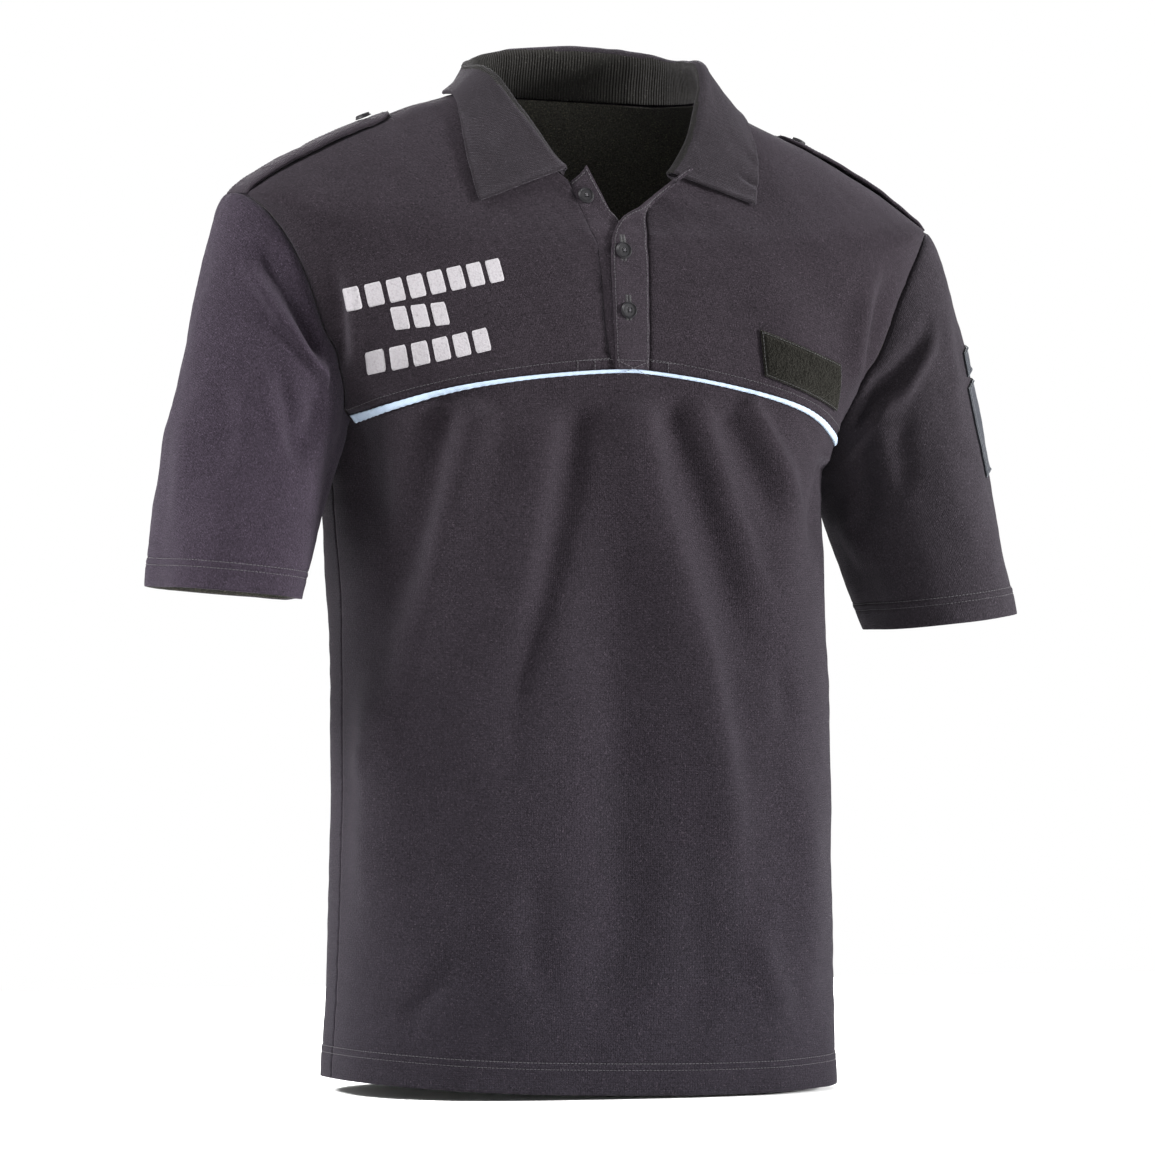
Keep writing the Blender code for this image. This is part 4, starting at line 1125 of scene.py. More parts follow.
@dataclass
class Sleeve:
    """One set-in sleeve, from the armhole to its turned hem."""

    tailor: Tailor
    hand: Hand
    middle: Point = (0.2765, -0.004, -0.3665)
    half_width: float = 0.0535
    half_depth: float = 0.070
    lean: float = math.radians(6.0)
    lean_difference: float = math.radians(3.0)
    bulge: float = 0.0215
    grid: tuple[int, int] = (116, 164)
    hem: Hem = Hem(0.0200, (0.0155, 0.0205))
    around_per_turn: float = 0.066
    down_per_part: float = 0.25
    fold_depths: Spot = (1.6, 1.0)

    def surface(self, turn: Array, part: Array) -> Place:
        """Places for turns round the arm and parts of the way down.

        Each line runs straight from the armhole to a tilted oval at the hem, swelled outwards by
        bulge * part^0.35 * (1 - part); the small folds are laid on that.
        """
        side = self.hand.value
        turn, part = np.broadcast_arrays(turn, part)
        top = self.tailor.form.armhole(self.hand, turn[0])
        lean = self.lean + side * self.lean_difference
        across = np.array([side * math.cos(lean), 0.0, math.sin(lean)])
        forward = np.array([0.0, -1.0, 0.0])
        angle, share = turn[..., None], part[..., None]
        hem = self.half_width * np.cos(angle) * across + self.half_depth * np.sin(angle) * forward
        hem = hem + np.array([side, 1.0, 1.0]) * self.middle
        swell = np.cos(angle / 2) ** 2 * np.array([side, 0.0, 0.15]) + np.sin(angle) * forward * 0.45
        swell = swell + np.sin(angle / 2) ** 8 * np.array([side * -0.05, 0.0, 0.0])
        points = top.points + (hem - top.points) * share + self.bulge * share**0.35 * (1 - share) * swell
        hint = np.cos(angle) * across + np.sin(angle) * forward
        return self._folded(Place(points, hint), turn, part, top)

    def _folded(self, plain: Place, turn: Array, part: Array, top: Place) -> Place:
        """Lays the folds on the plain sleeve, and the seam dip and hem where it is all round."""
        whole = turn.shape[1] == self.grid[1]
        normal = grid_normals(plain.points, plain.outward, whole)
        around = (np.mod(turn + np.pi, 2 * np.pi) - np.pi) * self.around_per_turn
        x, y, z = np.moveaxis(plain.points, -1, 0)
        folds = RIGHT_SLEEVE_FOLDS if self.hand is Hand.RIGHT else LEFT_SLEEVE_FOLDS
        height = sum(fold.over(around, part * self.down_per_part) for fold in folds)
        height = height * smooth(0.0, 0.05, part) * self.fold_depths[self.hand is Hand.LEFT]
        height = height + ripple(y, z * 0.4, 23, 0.07) * 0.0020 * smooth(0.0, 0.3, part)
        uneven = ripple(y + 0.4 * x, z, 21, 0.05) * 0.0008 + ripple(y + 0.4 * x, z, 22, 0.016) * 0.00022
        worn = Place(plain.points, normal).lifted(height + uneven * smooth(0.0, 0.08, part))
        if whole:
            worn = worn.lifted(self.hem.lift(border_distance(worn.points, Border.LAST)))
            dip = -0.0009 * bell(border_distance(worn.points, Border.FIRST), 0.0018)
            worn = Place(worn.points + top.outward * dip[..., None], normal)
            worn = worn.lifted(seam_lift(worn.points, (Border.FIRST,), dip=0.0))
        return worn

    def build(self) -> None:
        """The sleeve and its hem stitches."""
        rows, columns = self.grid
        turn = np.linspace(0, 2 * np.pi, columns, endpoint=False)[None, :]
        worn = self.surface(turn, close_ended(rows, 0.5)[:, None])
        thickness = self.hem.thickness(border_distance(worn.points, Border.LAST))
        wardrobe = self.tailor.wardrobe
        node = f"sleeve_{self.hand.word}"
        piece = self.tailor.sew(
            node + "_cloth", node, "cotton_knit", worn, thickness, wardrobe.sleeve_cotton[self.hand],
            wardrobe.inside, ring=True,
        )
        self.tailor.stitch(node + "_stitches", [piece.line(Border.LAST, inset) for inset in self.hem.rows])


@dataclass
class Placket:
    """The front opening's two strips, their stitched box, buttonholes and buttons."""

    tailor: Tailor
    panels: BodyPanels
    cloth: float = 0.0017
    under_lifts: Spot = (-0.0001, -0.0012)
    over_lifts: Spot = (0.0010, 0.0028)
    over_flare: float = 0.0085
    under_corner: Spot = (-0.0100, 0.0210)
    over_corner: Spot = (0.0330, 0.0180)
    grid: tuple[int, int] = (150, 34)
    box_top: float = -0.190
    box_low: float = -0.201
    crease: Fold = Fold(((-0.022, -0.113), (-0.006, -0.111), (0.002, -0.112)), -0.0012, 0.0022)
    button_radius: float = 0.0060
    buttons: tuple[tuple[str, float, float, float], ...] = (
        ("button_top", -0.0290, -0.0730, 0.0009),
        ("button_middle", -0.0070, -0.1120, 0.0023),
        ("button_bottom", -0.0045, -0.1545, 0.0022),
    )

    def build(self) -> None:
        """The strips, then what is sewn on them."""
        under = self._strip("under", self.under_lifts, 0.0, self.under_corner)
        over = self._strip("over", self.over_lifts, self.over_flare, self.over_corner)
        self._stitches(under, over)
        for name, x, z, lift in self.buttons:
            place = self.tailor.form.on_front(x, z, lift + 0.0008)
            Button(self.tailor, name, place, self.button_radius).build()

    def _strip(self, word: str, lifts: Spot, flare: float, corner: Spot) -> Cloth:
        """One strip, from its seam (first column) to its free edge (last column).

        It stands off the body by a straight run between its two lifts, with a soft roll at the free
        edge, and its free top corner flares off the body and turns across and up by corner.
        """
        form = self.tailor.form
        rows, columns = self.grid
        share = close_ended(columns, 0.5)
        seam, edge = (partial(form.opening_line, f"{word}_{end}") for end in ("seam", "edge"))
        lowest = seam(form.seam_centre)
        lowest = lowest + (edge(form.seam_centre) - lowest) * share
        level = self.panels.yoke_rows(form.seam_level(form.front_angle(lowest, form.seam_centre)), rows)
        across = seam(level) + (edge(level) - seam(level)) * share
        lift = lifts[0] + (lifts[1] - lifts[0]) * share
        lift = lift + flare * share * np.clip((level - 4.2) / 0.8, 0.0, 1.0) ** 2
        worn = form.worn(form.front_angle(across, level), level, lift)
        points = worn.points.copy()
        points[..., 0] += corner[0] * share * np.clip((level - 4.45) / 0.55, 0.0, 1.0) ** 2
        points[..., 2] += corner[1] * share * np.clip((level - 4.70) / 0.30, 0.0, 1.0) ** 1.3
        away = border_distance(points, Border.RIGHT)
        tucks = 0.0003 * np.sin(2 * np.pi * points[..., 2] / 0.017) * smooth(0.002, 0.010, away)
        tucks = tucks - 0.0008 * bell(away, 0.0014)
        if word == "under":
            tucks = tucks + self.crease.over(points[..., 0], points[..., 2])
        dip = seam_lift(points, (Border.FIRST, Border.LEFT), 0.0007)
        worn = Place(points, worn.outward).lifted(dip + tucks)
        node, knit = "placket_" + word, self.tailor.wardrobe.placket
        return self.tailor.sew(node + "_cloth", node, "cotton_knit", worn, self.cloth, knit)

    def _front_row(self, start: Spot, end: Spot, lift: float) -> Place:
        """A straight row on the front between two places given across and up."""
        x, z = np.linspace(start, end, 40).T
        return self.tailor.form.on_front(x, z, lift)

    def _stitches(self, under: Cloth, over: Cloth) -> None:
        """Rows beside both edges of the upper strip, the box below them and the buttonholes."""
        rows = [
            over.line(Border.RIGHT, 0.0022, 0.02, 0.985), over.line(Border.LEFT, 0.0020, 0.02, 0.985),
            over.line(Border.LAST, 0.0020, 0.06, 0.96), under.line(Border.RIGHT, 0.0022, 0.02, 0.985),
            under.line(Border.LAST, 0.0020, 0.06, 0.96),
        ]
        self.tailor.stitch("placket_stitches", rows)
        top, low = self.box_top, self.box_low
        beside = (
            ((-0.043, top - 0.002), (-0.017, top)), ((0.0125, top), (0.033, top - 0.001)),
            ((-0.043, top - 0.002), (-0.043, low + 0.002)), ((-0.030, top - 0.001), (-0.030, low + 0.001)),
            ((0.026, top), (0.026, low)),
        )
        crossed = (
            ((-0.0145, top), (0.0105, top)), ((-0.0145, top), (0.0105, low)),
            ((-0.0145, low), (0.0105, top)),
        )
        box = [self._front_row(*ends, 0.0004) for ends in beside]
        box += [self._front_row(*ends, 0.0032) for ends in crossed]
        self.tailor.stitch("placket_box_stitches", box)
        bars = [
            self._front_row((x + start, z + step + 0.0020), (x + end, z + step + 0.0020), 0.0022)
            for _, x, z, _ in self.buttons[1:]
            for step in np.linspace(-0.0088, 0.0088, 34)
            for start, end in ((-0.0022, -0.0003), (0.0003, 0.0022))
        ]
        dark = self.tailor.wardrobe.thread_dark
        self.tailor.stitch("buttonhole_stitches", bars, dark, pitch=0.0018, length=0.0021, radius=0.0003)


@dataclass
class Button:
    """A turned four-hole button with its thread.

    The height over the radius, as a share of its thickness, follows a rounded rim and a dished
    middle; each hole is a pit of the dish, 1.5 mm across.
    """

    tailor: Tailor
    name: str
    place: Place
    radius: float
    thickness: float = 0.0022
    rings: int = 34
    turns: int = 60
    hole_away: float = 0.0014
    hole_radius: float = 0.00075

    def _profile(self, out: Array) -> Array:
        """The face's height share: a rim at 0.84 of the radius, falling to a dish inside it."""
        dish = 0.50 + 0.04 * smooth(0.25, 0.6, out)
        edge = np.sqrt(np.clip(1 - np.clip((out - 0.86) / 0.14, 0, 1) ** 2, 0.0, 1.0))
        return np.maximum(dish, bell(out - 0.84, 0.085)) * edge

    def build(self) -> None:
        """The button, hung on its node, and its threads."""
        front = unit(self.place.outward)
        first = unit(np.cross(front, np.array([0.0, 0.3, 1.0])))
        second = np.cross(front, first)
        out = np.concatenate([np.linspace(0.02, 0.7, 16), np.linspace(0.72, 1.0, self.rings - 16)])[:, None]
        turn = np.linspace(0, 2 * np.pi, self.turns, endpoint=False)
        across, up = out * np.cos(turn), out * np.sin(turn)
        high = self._profile(out) + 0 * turn
        far, size = self.hole_away / self.radius, self.hole_radius / self.radius
        for hole in (np.arange(4) + 0.5) * np.pi / 2:
            away = np.hypot(across - math.cos(hole) * far, up - math.sin(hole) * far)
            high = high - 0.40 * smooth(size, size * 0.6, away)
        body = (across[..., None] * first + up[..., None] * second) * self.radius
        middle = self.place.points
        face = middle + body + front * (high * self.thickness)[..., None]
        top = middle + front * self.thickness * high[0].mean()
        points = np.concatenate([face.reshape(-1, 3), middle + body[-1] * 0.9, top[None], middle[None]])
        grid = numbers(self.rings + 1, self.turns, True)
        caps = []
        for start, end, centre in ((grid[0, 1:], grid[0, :-1], -2), (grid[-1, :-1], grid[-1, 1:], -1)):
            tip = np.full(self.turns, len(points) + centre)
            caps.append(np.stack([start, end, tip, tip], 1))
        self.tailor.work.add(
            self.name + "_face", "button_resin", points, np.concatenate([cells(grid), *caps]),
            [self.tailor.wardrobe.resin], node=self.name,
        )
        self._thread(first, second, front)

    def _thread(self, first: Array, second: Array, out: Array) -> None:
        """Two strands that run between the holes."""
        rows = []
        reach = self.hole_away * 1.05
        for corner in (np.pi / 4, 3 * np.pi / 4):
            for aside in (-0.0002, 0.0002):
                direction = math.cos(corner) * first + math.sin(corner) * second
                points = self.place.points + np.linspace(-1, 1, 5)[:, None] * direction * reach
                points = points + np.cross(out, direction) * aside + out * self.thickness * 0.56
                rows.append(Place(points, np.broadcast_to(out, points.shape)))
        self.tailor.work.threads(
            self.name + "_thread", "cotton_knit", rows, self.tailor.wardrobe.thread_pale,
            pitch=2 * reach * 0.98, length=2 * reach, radius=0.00026, arch=0.0004,
        )


@dataclass
class Collar:
    """One flat rib-knit collar: its stand rises from the neck seam and folds over into the fall."""

    tailor: Tailor
    cloth: float = 0.0017
    stand_side: float = 0.0205
    stand_back: float = 0.0340
    stand_tilt: float = 0.068
    stand_end: float = 0.005
    fall_level: float = 4.875
    back_draw: float = 0.060
    right_draw: float = 0.022
    point: Spot = (0.106, -0.078)
    point_tilt: float = 0.040
    point_shift: float = -0.0045
    end: float = 0.043
    lift: float = 0.0015
    base: float = 0.0006
    hug: float = 1.8
    tuck: float = 0.0045
    shoulder_place: float = 0.55
    bow: float = 0.005
    grid: tuple[int, int] = (84, 340)
    stand: tuple[Spot, ...] = (
        (-0.0012, 0.00), (-0.0030, 0.35), (-0.0065, 0.72), (-0.0080, 0.93),
        (-0.0070, 1.04), (-0.0045, 1.09), (-0.0020, 1.04),
    )
    fall: tuple[float, ...] = (0.16, 0.26, 0.36, 0.46, 0.56, 0.67, 0.78, 0.89, 1.0)
    creases: tuple[Fold, ...] = (
        Fold(((0.236, 0.060), (0.240, 0.095)), -0.0014, 0.0022),
        Fold(((-0.215, 0.045), (-0.226, 0.070), (-0.232, 0.092)), 0.0012, 0.0060),
    )

    def _edge(self, turn: Array) -> tuple[Array, Array]:
        """Angle and level on the body under the fall's edge, from end (-1) to end (1)."""
        form = self.tailor.form
        away = np.abs(turn)
        back_angle = np.pi / 2 * np.clip(1 - away / self.shoulder_place, 0.0, 1.0)
        near = self.fall_level + self.right_draw * (turn < 0)
        start = np.moveaxis(form.plain(0.0, near), -1, 0)
        share = np.clip((away - self.shoulder_place) / (1 - self.shoulder_place), 0.0, 1.0)
        reach = self.point[0] + self.point_shift * np.sign(turn)
        x = start[0] + (reach - start[0]) * share + self.bow * np.sin(np.pi * share)
        point = self.point[1] + self.point_tilt * self.point[0] * np.sign(turn)
        front = form.front_level(x, start[2] + (point - start[2]) * share)
        behind = near + self.back_draw * smooth(-0.02, 0.40, np.sin(back_angle))
        level = np.where(share > 0, front, behind)
        angle = np.where(share > 0, form.front_angle(x, front), back_angle)
        return np.where(turn < 0, np.pi - angle, angle), level

    @staticmethod
    def _smoothed(rows: Array, count: int) -> Array:
        """A smooth curve through the rows at each column, evenly stepped."""
        padded = np.concatenate([2 * rows[:1] - rows[1:2], rows, 2 * rows[-1:] - rows[-2:-1]])
        steps = np.linspace(0, len(rows) - 1, (len(rows) - 1) * 12 + 1)
        low = np.minimum(steps.astype(int), len(rows) - 2)
        fine = spline(*(padded[low + i] for i in range(4)), (steps - low)[:, None, None])
        length = run_length(fine, 0).mean(axis=1)
        wanted = np.interp(close_ended(count, 0.25) * length[-1], length, np.arange(len(fine)))
        low = np.minimum(wanted.astype(int), len(fine) - 2)
        part = (wanted - low)[:, None, None]
        return fine[low] * (1 - part) + fine[low + 1] * part

    def _surface(self, turn: Array) -> Array:
        """The strip's under side, rows from the neck seam over the fold to the fall's edge."""
        form = self.tailor.form
        end_angle = form.front_angle(self.end, form.neck)
        seam_angle = np.pi / 2 - (np.pi / 2 - end_angle) * np.abs(turn)
        seam_angle = np.where(turn < 0, np.pi - seam_angle, seam_angle)
        seam = form.plain(seam_angle, form.neck)
        out = unit(seam * np.array([1.0, 1.0, 0.0]))
        to_end = np.sin(np.clip((1 - np.abs(turn)) / 0.42, 0.0, 1.0) * np.pi / 2)
        stand = self.stand_end + (self.stand_side - self.stand_end + self.stand_tilt * seam[:, 0]) * to_end
        stand = stand + (self.stand_back - self.stand_side) * np.clip(np.sin(seam_angle), 0.0, 1.0) ** 1.5
        rows = [
            seam + out * place + UP * (self.base + stand * height)[:, None]
            for place, height in self.stand
        ]
        edge_angle, edge_level = self._edge(turn)
        for share in self.fall:
            spread = share**self.hug
            angle = seam_angle + (edge_angle - seam_angle) * spread
            level = form.neck + (edge_level - form.neck) * spread
            place = form.worn(angle, level, self.lift + 0.0022 * (1 - share))
            rise = (stand * (1 - share**1.1))[:, None]
            rows.append(place.points + UP * rise - out * self.tuck * (1 - share) ** 1.5)
        return np.stack(rows)

    def build(self) -> None:
        """The collar with its soft unevenness, creases and curled edges."""
        turn = close_ended(self.grid[1], 0.35, -1.0)
        points = self._smoothed(self._surface(turn), self.grid[0])
        normal = np.cross(np.gradient(points, axis=1), np.gradient(points, axis=0))
        worn = Place(points, unit(normal)).lifted(self.cloth)
        down = run_length(worn.points, 0)
        across = np.broadcast_to(turn * 0.26, down.shape)
        lift = ripple(across, down, 31, 0.045) * 0.0007 + ripple(across, down, 32, 0.013) * 0.00018
        for border in (Border.LAST, Border.LEFT, Border.RIGHT):
            away = border_distance(worn.points, border)
            lift = lift + 0.0009 * (bell(away, 0.0050) - bell(away, 0.0012))
        creases = sum(crease.over(across, down) for crease in self.creases)
        worn = worn.lifted(lift + creases * smooth(0.030, 0.045, down))
        rib, thickness = self.tailor.wardrobe.rib_outer, self.cloth * 0.9
        piece = self.tailor.sew("collar_cloth", "collar", "rib_knit", worn, thickness, rib)
        self._mark_stand(piece.made.data, down, turn)

    def _mark_stand(self, mesh: bpy.types.Mesh, down: Array, turn: Array) -> None:
        """Gives the stand's faces, up to the top of the fold, the finish of the inside."""
        mesh.materials.append(self.tailor.wardrobe.rib_inner)
        backness = np.cos(turn * np.pi / 2) ** 0.8
        stand = (down < 0.018 + 0.018 * backness)[:-1, :-1].ravel()
        index = np.zeros(len(mesh.polygons), np.int32)
        index[: len(stand)][stand] = 1
        mesh.polygons.foreach_set("material_index", index)
        mesh.update()


@dataclass
class Trim:
    """Piping, name panel, chest bars and the two patches on the sleeve."""

    tailor: Tailor
    sleeve: Sleeve
    piping_width: float = 0.0042
    panel_corner: Spot = (0.102, -0.196)
    panel_along: Spot = (0.072, -0.021)
    panel_up: Spot = (-0.004, 0.033)
    bar_half_height: float = 0.0082
    bar_slant: float = -0.24
    bar_corner: float = 0.0066
    bar_rounding: float = 90.0
    bar_grid: tuple[int, int] = (14, 10)
    bar_rows: tuple[tuple[tuple[Spot, ...], int], ...] = (
        (((-0.206, -0.156), (-0.155, -0.143), (-0.096, -0.129)), 8),
        (((-0.175, -0.168), (-0.135, -0.162)), 3),
        (((-0.188, -0.200), (-0.148, -0.190), (-0.106, -0.179)), 6),
    )

    def build(self) -> None:
        """Each trim in turn."""
        self._piping()
        self._name_panel()
        self._chest_bars()
        self._sleeve_patch("sleeve_badge", (-0.52, 0.62), (0.387, 0.630))
        self._sleeve_patch("sleeve_tab", (-0.20, 0.55), (0.300, 0.365))

    def _piping(self) -> None:
        """A folded tape along the seam: its lift over its width is a half ellipse, lightly puckered."""
        form = self.tailor.form
        edge = form.armhole_angle(form.seam_side)
        angle = np.linspace(-np.pi + edge + 0.014, -edge - 0.075, 420)
        seam = form.seam_level(angle)
        share = np.linspace(0.0, 1.0, 12)[:, None]
        along = 2 * np.pi * run_length(form.plain(angle, seam), 0)
        waver = 0.00022 * np.sin(along / 0.0062 + np.sin(along / 0.031))
        level = seam - (0.0002 + waver * (share - 0.4) + self.piping_width * share) / 0.082
        lift = 0.0004 + 0.0016 * np.sqrt(np.clip(1 - (2 * share - 1) ** 2, 0.0, 1.0))
        worn = form.worn(angle, level, lift + 0.00020 * np.sin(along / 0.0062))
        self.tailor.sew("piping_tape", "piping", "piping_tape", worn, 0.0007, self.tailor.wardrobe.piping)

    def _name_panel(self) -> None:
        """Loop pile between flat stitched borders; the pile's height is seeded noise."""
        along, up = np.linspace(0, 1, 128), np.linspace(0, 1, 60)[:, None]
        x, z = (self.panel_corner[i] + self.panel_along[i] * along + self.panel_up[i] * up for i in (0, 1))
        worn = self.tailor.form.on_front(x, z)
        away = border_distance(worn.points, *Border)
        rough = np.random.default_rng(41).uniform(-1, 1, away.shape)
        blurred = sum(np.roll(rough, shift, (0, 1)) for shift in ((0, 0), (1, 0), (0, 1), (1, 1))) / 4
        pile = smooth(0.0026, 0.0040, away) * (0.0011 + 0.00020 * rough + 0.0006 * blurred)
        worn = worn.lifted(0.0024 + pile - 0.0005 * bell(away, 0.0007))
        wardrobe = self.tailor.wardrobe
        panel = self.tailor.sew("name_panel_pile", "name_panel", "loop_pile", worn, 0.0015, wardrobe.pile)
        rows = [panel.line(border, 0.0016, 0.02, 0.98) for border in Border]
        self.tailor.stitch("name_panel_stitches", rows, wardrobe.thread_dark, "loop_pile")

    def _chest_bars(self) -> None:
        """Three rows of plain printed bars, each a grid laid just clear of the chest cloth."""
        rows, columns = self.bar_grid
        grid = numbers(rows, columns)
        half = rows * columns
        rim = np.concatenate([grid[0], grid[1:, -1], grid[-1, -2::-1], grid[-2:0:-1, 0]])
        following = np.roll(rim, -1)
        wall = np.stack([following, rim, rim + half, following + half], 1)
        quads = np.concatenate([cells(grid), cells(grid)[:, ::-1] + half, wall])
        up = np.linspace(-self.bar_half_height, self.bar_half_height, rows)[:, None]
        corner = np.clip(np.abs(up) - self.bar_corner, 0.0, None) * self.bar_rounding
        points = []
        for path, bars in self.bar_rows:
            line = np.array(path)
            length = run_length(line, 0)
            pitch = length[-1] / bars
            for i in range(bars):
                share = np.linspace(0.12, 0.88, columns) * pitch + i * pitch
                x, z = np.interp(share, length, line[:, 0]), np.interp(share, length, line[:, 1])
                x = x + up * self.bar_slant - (x - x.mean()) * corner
                face = self.tailor.form.on_front(x, z + up * 0.97, 0.00035)
                points += [face.points.reshape(-1, 3), face.lifted(-0.0003).points.reshape(-1, 3)]
        points = np.concatenate(points)
        quads = (np.arange(0, len(points), 2 * half)[:, None, None] + quads).reshape(-1, 4)
        self.tailor.work.add("chest_bars", "cotton_knit", points, quads, [self.tailor.wardrobe.print])

    def _sleeve_patch(self, name: str, turns: Spot, parts: Spot) -> None:
        """A twill patch on the sleeve with an overlocked rim."""
        worn = self.sleeve.surface(np.linspace(*turns, 56)[None, :], np.linspace(*parts, 44)[:, None])
        away = border_distance(worn.points, *Border)
        worn = worn.lifted(0.0016 + 0.0007 * bell(away - 0.0016, 0.0011) - 0.0006 * bell(away, 0.0007))
        wardrobe = self.tailor.wardrobe
        patch = self.tailor.sew(name + "_twill", name, "badge_twill", worn, 0.0011, wardrobe.badge)
        rows = [patch.line(border, inset, 0.01, 0.99) for border in Border for inset in (0.0008, 0.0018)]
        self.tailor.work.threads(
            name + "_rim", "badge_twill", rows, wardrobe.badge_edge, pitch=0.0011, length=0.0013,
            radius=0.0004, arch=0.0001,
        )


@dataclass
class Epaulette:
    """A two-layer shoulder strap, sewn in at the armhole and buttoned near the collar."""

    tailor: Tailor
    hand: Hand
    outer_end: float = 0.2645
    inner_end: float = 0.1500
    half_width: float = 0.0235
    thickness: float = 0.0022
    button_x: float = 0.1660
    grid: tuple[int, int] = (96, 44)

    def _place(self, x: Array, y: Array, lift: Array | float) -> Place:
        """Places on the shoulder at distances across and front to back."""
        form = self.tailor.form
        tip, neck = form.rings[4, 1], form.rings[5, 1]
        level = form.tip + (tip - x) / (tip - neck)
        angle = np.arcsin(signed_power(y / form.ring(level)["half_depth"], form.ring_power / 2))
        return form.worn(angle if self.hand is Hand.LEFT else np.pi - angle, level, lift)

    def build(self) -> None:
        """The strap as a grid along and across it, its stitches and its button."""
        along = close_ended(self.grid[0], 0.4)[:, None]
        across = close_ended(self.grid[1], 0.45, -1.0)
        x = self.outer_end + (self.inner_end - self.outer_end) * along + 0 * across
        to_end = np.clip((x - self.inner_end) / self.half_width, 0.0, 1.0)
        y = self.half_width * (0.10 + 0.90 * np.sqrt(np.clip(1 - (1 - to_end) ** 2, 0.0, 1.0))) * across
        worn = self._place(x, y, 0.0)
        away = border_distance(worn.points, Border.LEFT, Border.RIGHT, Border.LAST)
        lift = 0.0004 + (self.thickness + 0.0006) * smooth(-0.03, 0.07, along)
        lift = lift + 0.0016 * np.sin(np.pi * along) * (0.6 - 0.4 * across)
        lift = lift - 0.0010 * bell(away, 0.0011) - 0.0003 * bell(away - 0.0045, 0.0010)
        worn = worn.lifted(lift + ripple(x, y, 51 + self.hand.value, 0.02) * 0.0003)
        name = f"epaulette_{self.hand.word}"
        strap = self.tailor.sew(
            name + "_strap", name, "cotton_knit", worn, self.thickness, self.tailor.wardrobe.placket
        )
        ends = {Border.LEFT: (0.0, 0.93), Border.RIGHT: (0.0, 0.93), Border.LAST: (0.12, 0.88)}
        rows = [strap.line(border, 0.0045, *part) for border, part in ends.items()]
        self.tailor.stitch(name + "_stitches", rows)
        place = self._place(np.array(self.button_x), np.array(0.0), 0.0028 + self.thickness)
        Button(self.tailor, f"epaulette_button_{self.hand.word}", place, 0.0060).build()


@dataclass
class Studio:
    """A plain pale floor, soft light all round, three broad lamps and the camera."""

    floor_height: float = -0.7172
    floor_side: float = 3.0
    target: Point = (0.0045, 0.0285, -0.345)
    distance: float = 6.0
    azimuth: float = math.radians(-20.0)
    lens: float = 256.2
    lamps: tuple[tuple[str, Point, float, float], ...] = (
        ("key", (4.1, -2.55, 0.4), 1.0, 760.0),
        ("side", (-3.5, 0.0, 2.5), 1.3, 560.0),
        ("back", (1.2, 4.1, 1.4), 1.6, 230.0),
    )

    def _aimed(self, name: str, data: bpy.types.ID, place: Vector) -> bpy.types.Object:
        """A lamp or camera that points at the garment's middle."""
        made = bpy.data.objects.new(name, data)
        made.location = place
        made.rotation_euler = (Vector(self.target) - place).to_track_quat("-Z", "Y").to_euler()
        bpy.context.scene.collection.objects.link(made)
        return made

    def build(self) -> None:
        """World, floor, lamps and camera."""
        scene = bpy.context.scene
        scene.view_settings.view_transform = "Standard"
        scene.world = bpy.data.worlds.new("soft_studio")
        scene.world.use_nodes = True
        sky = scene.world.node_tree.nodes["Background"].inputs
        sky["Color"].default_value = (1.0, 1.0, 1.0, 1.0)
        sky["Strength"].default_value = 1.0
        side, z = self.floor_side, self.floor_height
        mesh = bpy.data.meshes.new("floor")
        corners = [(-side, -side, z), (side, -side, z), (side, side / 2, z), (-side, side / 2, z)]
        mesh.from_pydata(corners, [], [(0, 1, 2, 3)])
        recipe = Recipe("pale_floor")
        grain = recipe.ranged(recipe.noise(30.0, 3.0), 0.3, 0.7, 0.0, 1.0)
        mesh.materials.append(recipe.finish(recipe.mixed(grain, (0.90,) * 3, (0.93,) * 3), 0.9, None, 0.0))
        floor = bpy.data.objects.new("floor", mesh)
        scene.collection.objects.link(floor)
        for name, place, size, power in self.lamps:
            lamp = bpy.data.lights.new(name, "AREA")
            lamp.size, lamp.energy = size, power
            self._aimed(name, lamp, Vector(place))
        lens = bpy.data.cameras.new("camera")
        lens.lens, lens.sensor_width = self.lens, 36.0
        away = Vector((math.sin(self.azimuth), -math.cos(self.azimuth), 0.0))
        scene.camera = self._aimed("camera", lens, Vector(self.target) + away * self.distance)


@dataclass(frozen=True)
class Cut:
    """A cloth piece's flat cut: the rectangle it comes from, its flat area and what bears it."""

    piece: str
    flat: Spot
    area: float
    held: str
    rests_on: tuple[str, ...]
    carries: tuple[str, ...] = ()

    def declare(self) -> None:
        """Does nothing: the cut is not stated anywhere."""


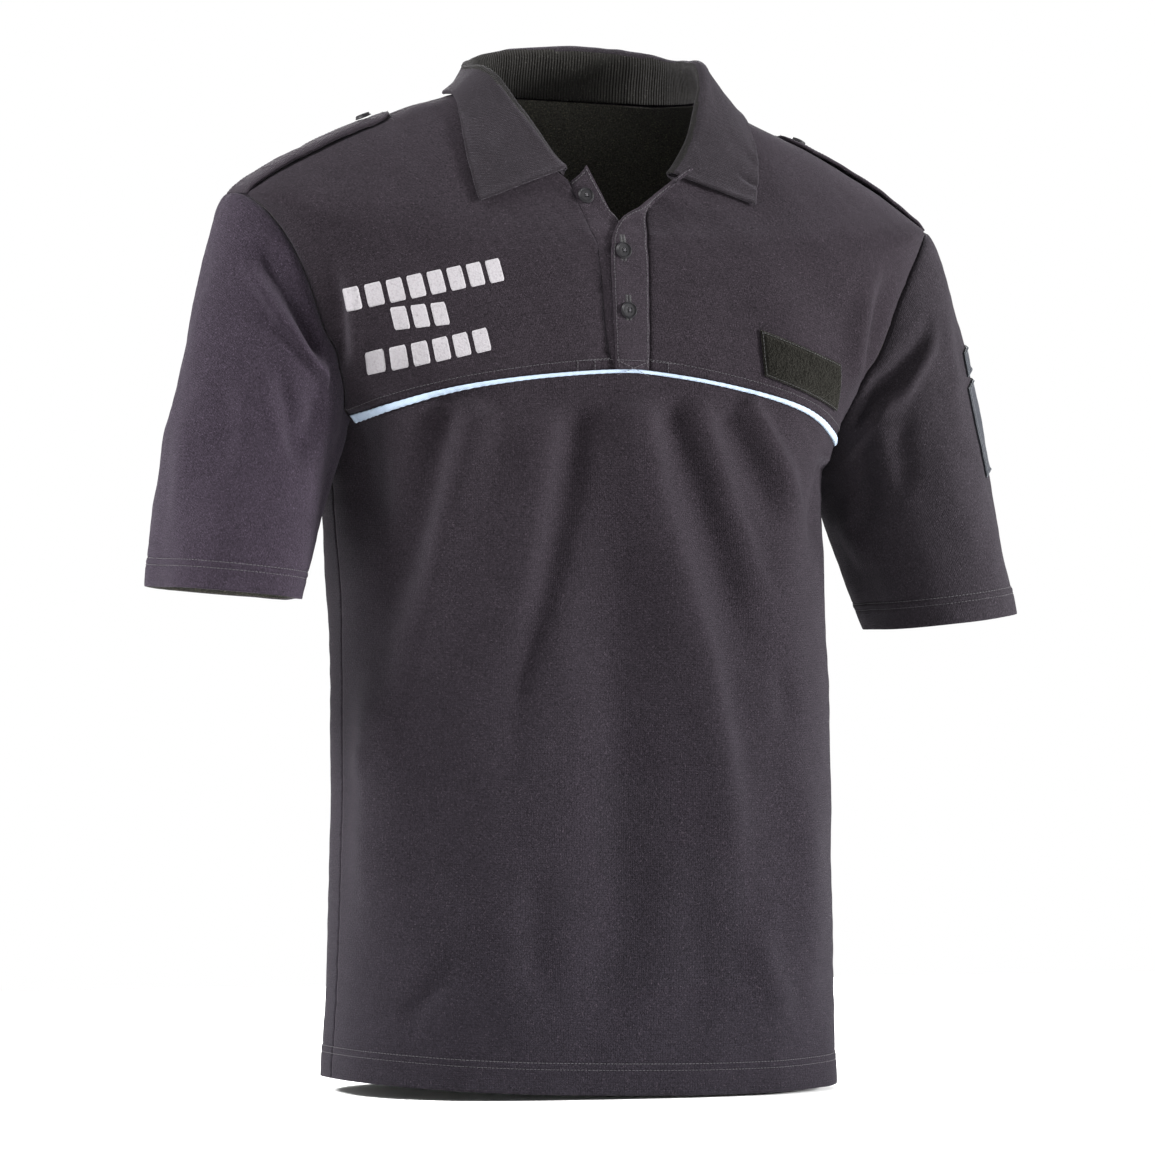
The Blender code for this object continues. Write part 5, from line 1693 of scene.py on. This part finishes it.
CUTS = (
    Cut(
        "front_panel_cloth", (0.56, 0.53), 0.265, "hung",
        ("yoke_right_cloth", "yoke_left_cloth"), ("hem_stitches", "chest_seam_stitches"),
    ),
    Cut("back_panel_cloth", (0.56, 0.75), 0.375, "hung", ("yoke_right_cloth", "yoke_left_cloth")),
    Cut("yoke_right_cloth", (0.25, 0.25), 0.050, "hung", ("back_panel_cloth",)),
    Cut("yoke_left_cloth", (0.25, 0.25), 0.051, "hung", ("back_panel_cloth",)),
    Cut(
        "sleeve_right_cloth", (0.46, 0.25), 0.090, "hung",
        ("yoke_right_cloth", "back_panel_cloth"), ("sleeve_right_stitches",),
    ),
    Cut(
        "sleeve_left_cloth", (0.46, 0.25), 0.090, "hung",
        ("yoke_left_cloth", "back_panel_cloth"), ("sleeve_left_stitches",),
    ),
    Cut("placket_under_cloth", (0.030, 0.140), 0.0036, "laid", ("yoke_right_cloth",)),
    Cut(
        "placket_over_cloth", (0.030, 0.140), 0.0036, "laid", ("placket_under_cloth",),
        ("placket_stitches", "placket_box_stitches", "buttonhole_stitches"),
    ),
    Cut(
        "collar_cloth", (0.105, 0.43), 0.038, "folded",
        ("yoke_right_cloth", "yoke_left_cloth", "back_panel_cloth"),
    ),
    Cut("piping_tape", (0.010, 0.44), 0.0024, "laid", ("front_panel_cloth",)),
    Cut("name_panel_pile", (0.075, 0.033), 0.0024, "laid", ("yoke_left_cloth",), ("name_panel_stitches",)),
    Cut("sleeve_badge_twill", (0.076, 0.082), 0.0058, "laid", ("sleeve_left_cloth",), ("sleeve_badge_rim",)),
    Cut("sleeve_tab_twill", (0.052, 0.022), 0.0010, "laid", ("sleeve_left_cloth",), ("sleeve_tab_rim",)),
    Cut(
        "epaulette_right_strap", (0.046, 0.150), 0.0060, "laid",
        ("yoke_right_cloth",), ("epaulette_right_stitches",),
    ),
    Cut(
        "epaulette_left_strap", (0.046, 0.150), 0.0060, "laid",
        ("yoke_left_cloth",), ("epaulette_left_stitches",),
    ),
)


def main() -> None:
    """Builds the shirt piece by piece."""
    logging.basicConfig(level=logging.INFO, format="%(name)s: %(message)s")
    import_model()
    tailor = Tailor(TorsoForm(), Piecework(), Wardrobe())
    panels = BodyPanels(tailor)
    panels.build()
    sleeves = {hand: Sleeve(tailor, hand) for hand in Hand}
    for sleeve in sleeves.values():
        sleeve.build()
    Placket(tailor, panels).build()
    Collar(tailor).build()
    Trim(tailor, sleeves[Hand.LEFT]).build()
    for hand in Hand:
        Epaulette(tailor, hand).build()
    for cut in CUTS:
        cut.declare()
    Studio().build()
    for name in tailor.work.made:
        mesh = bpy.data.objects[name].data
        area = sum(face.area for face in mesh.polygons) / 2
        LOG.info("%s: %d faces, half area %.4f", name, len(mesh.polygons), area)


if __name__ == "__main__":
    main()
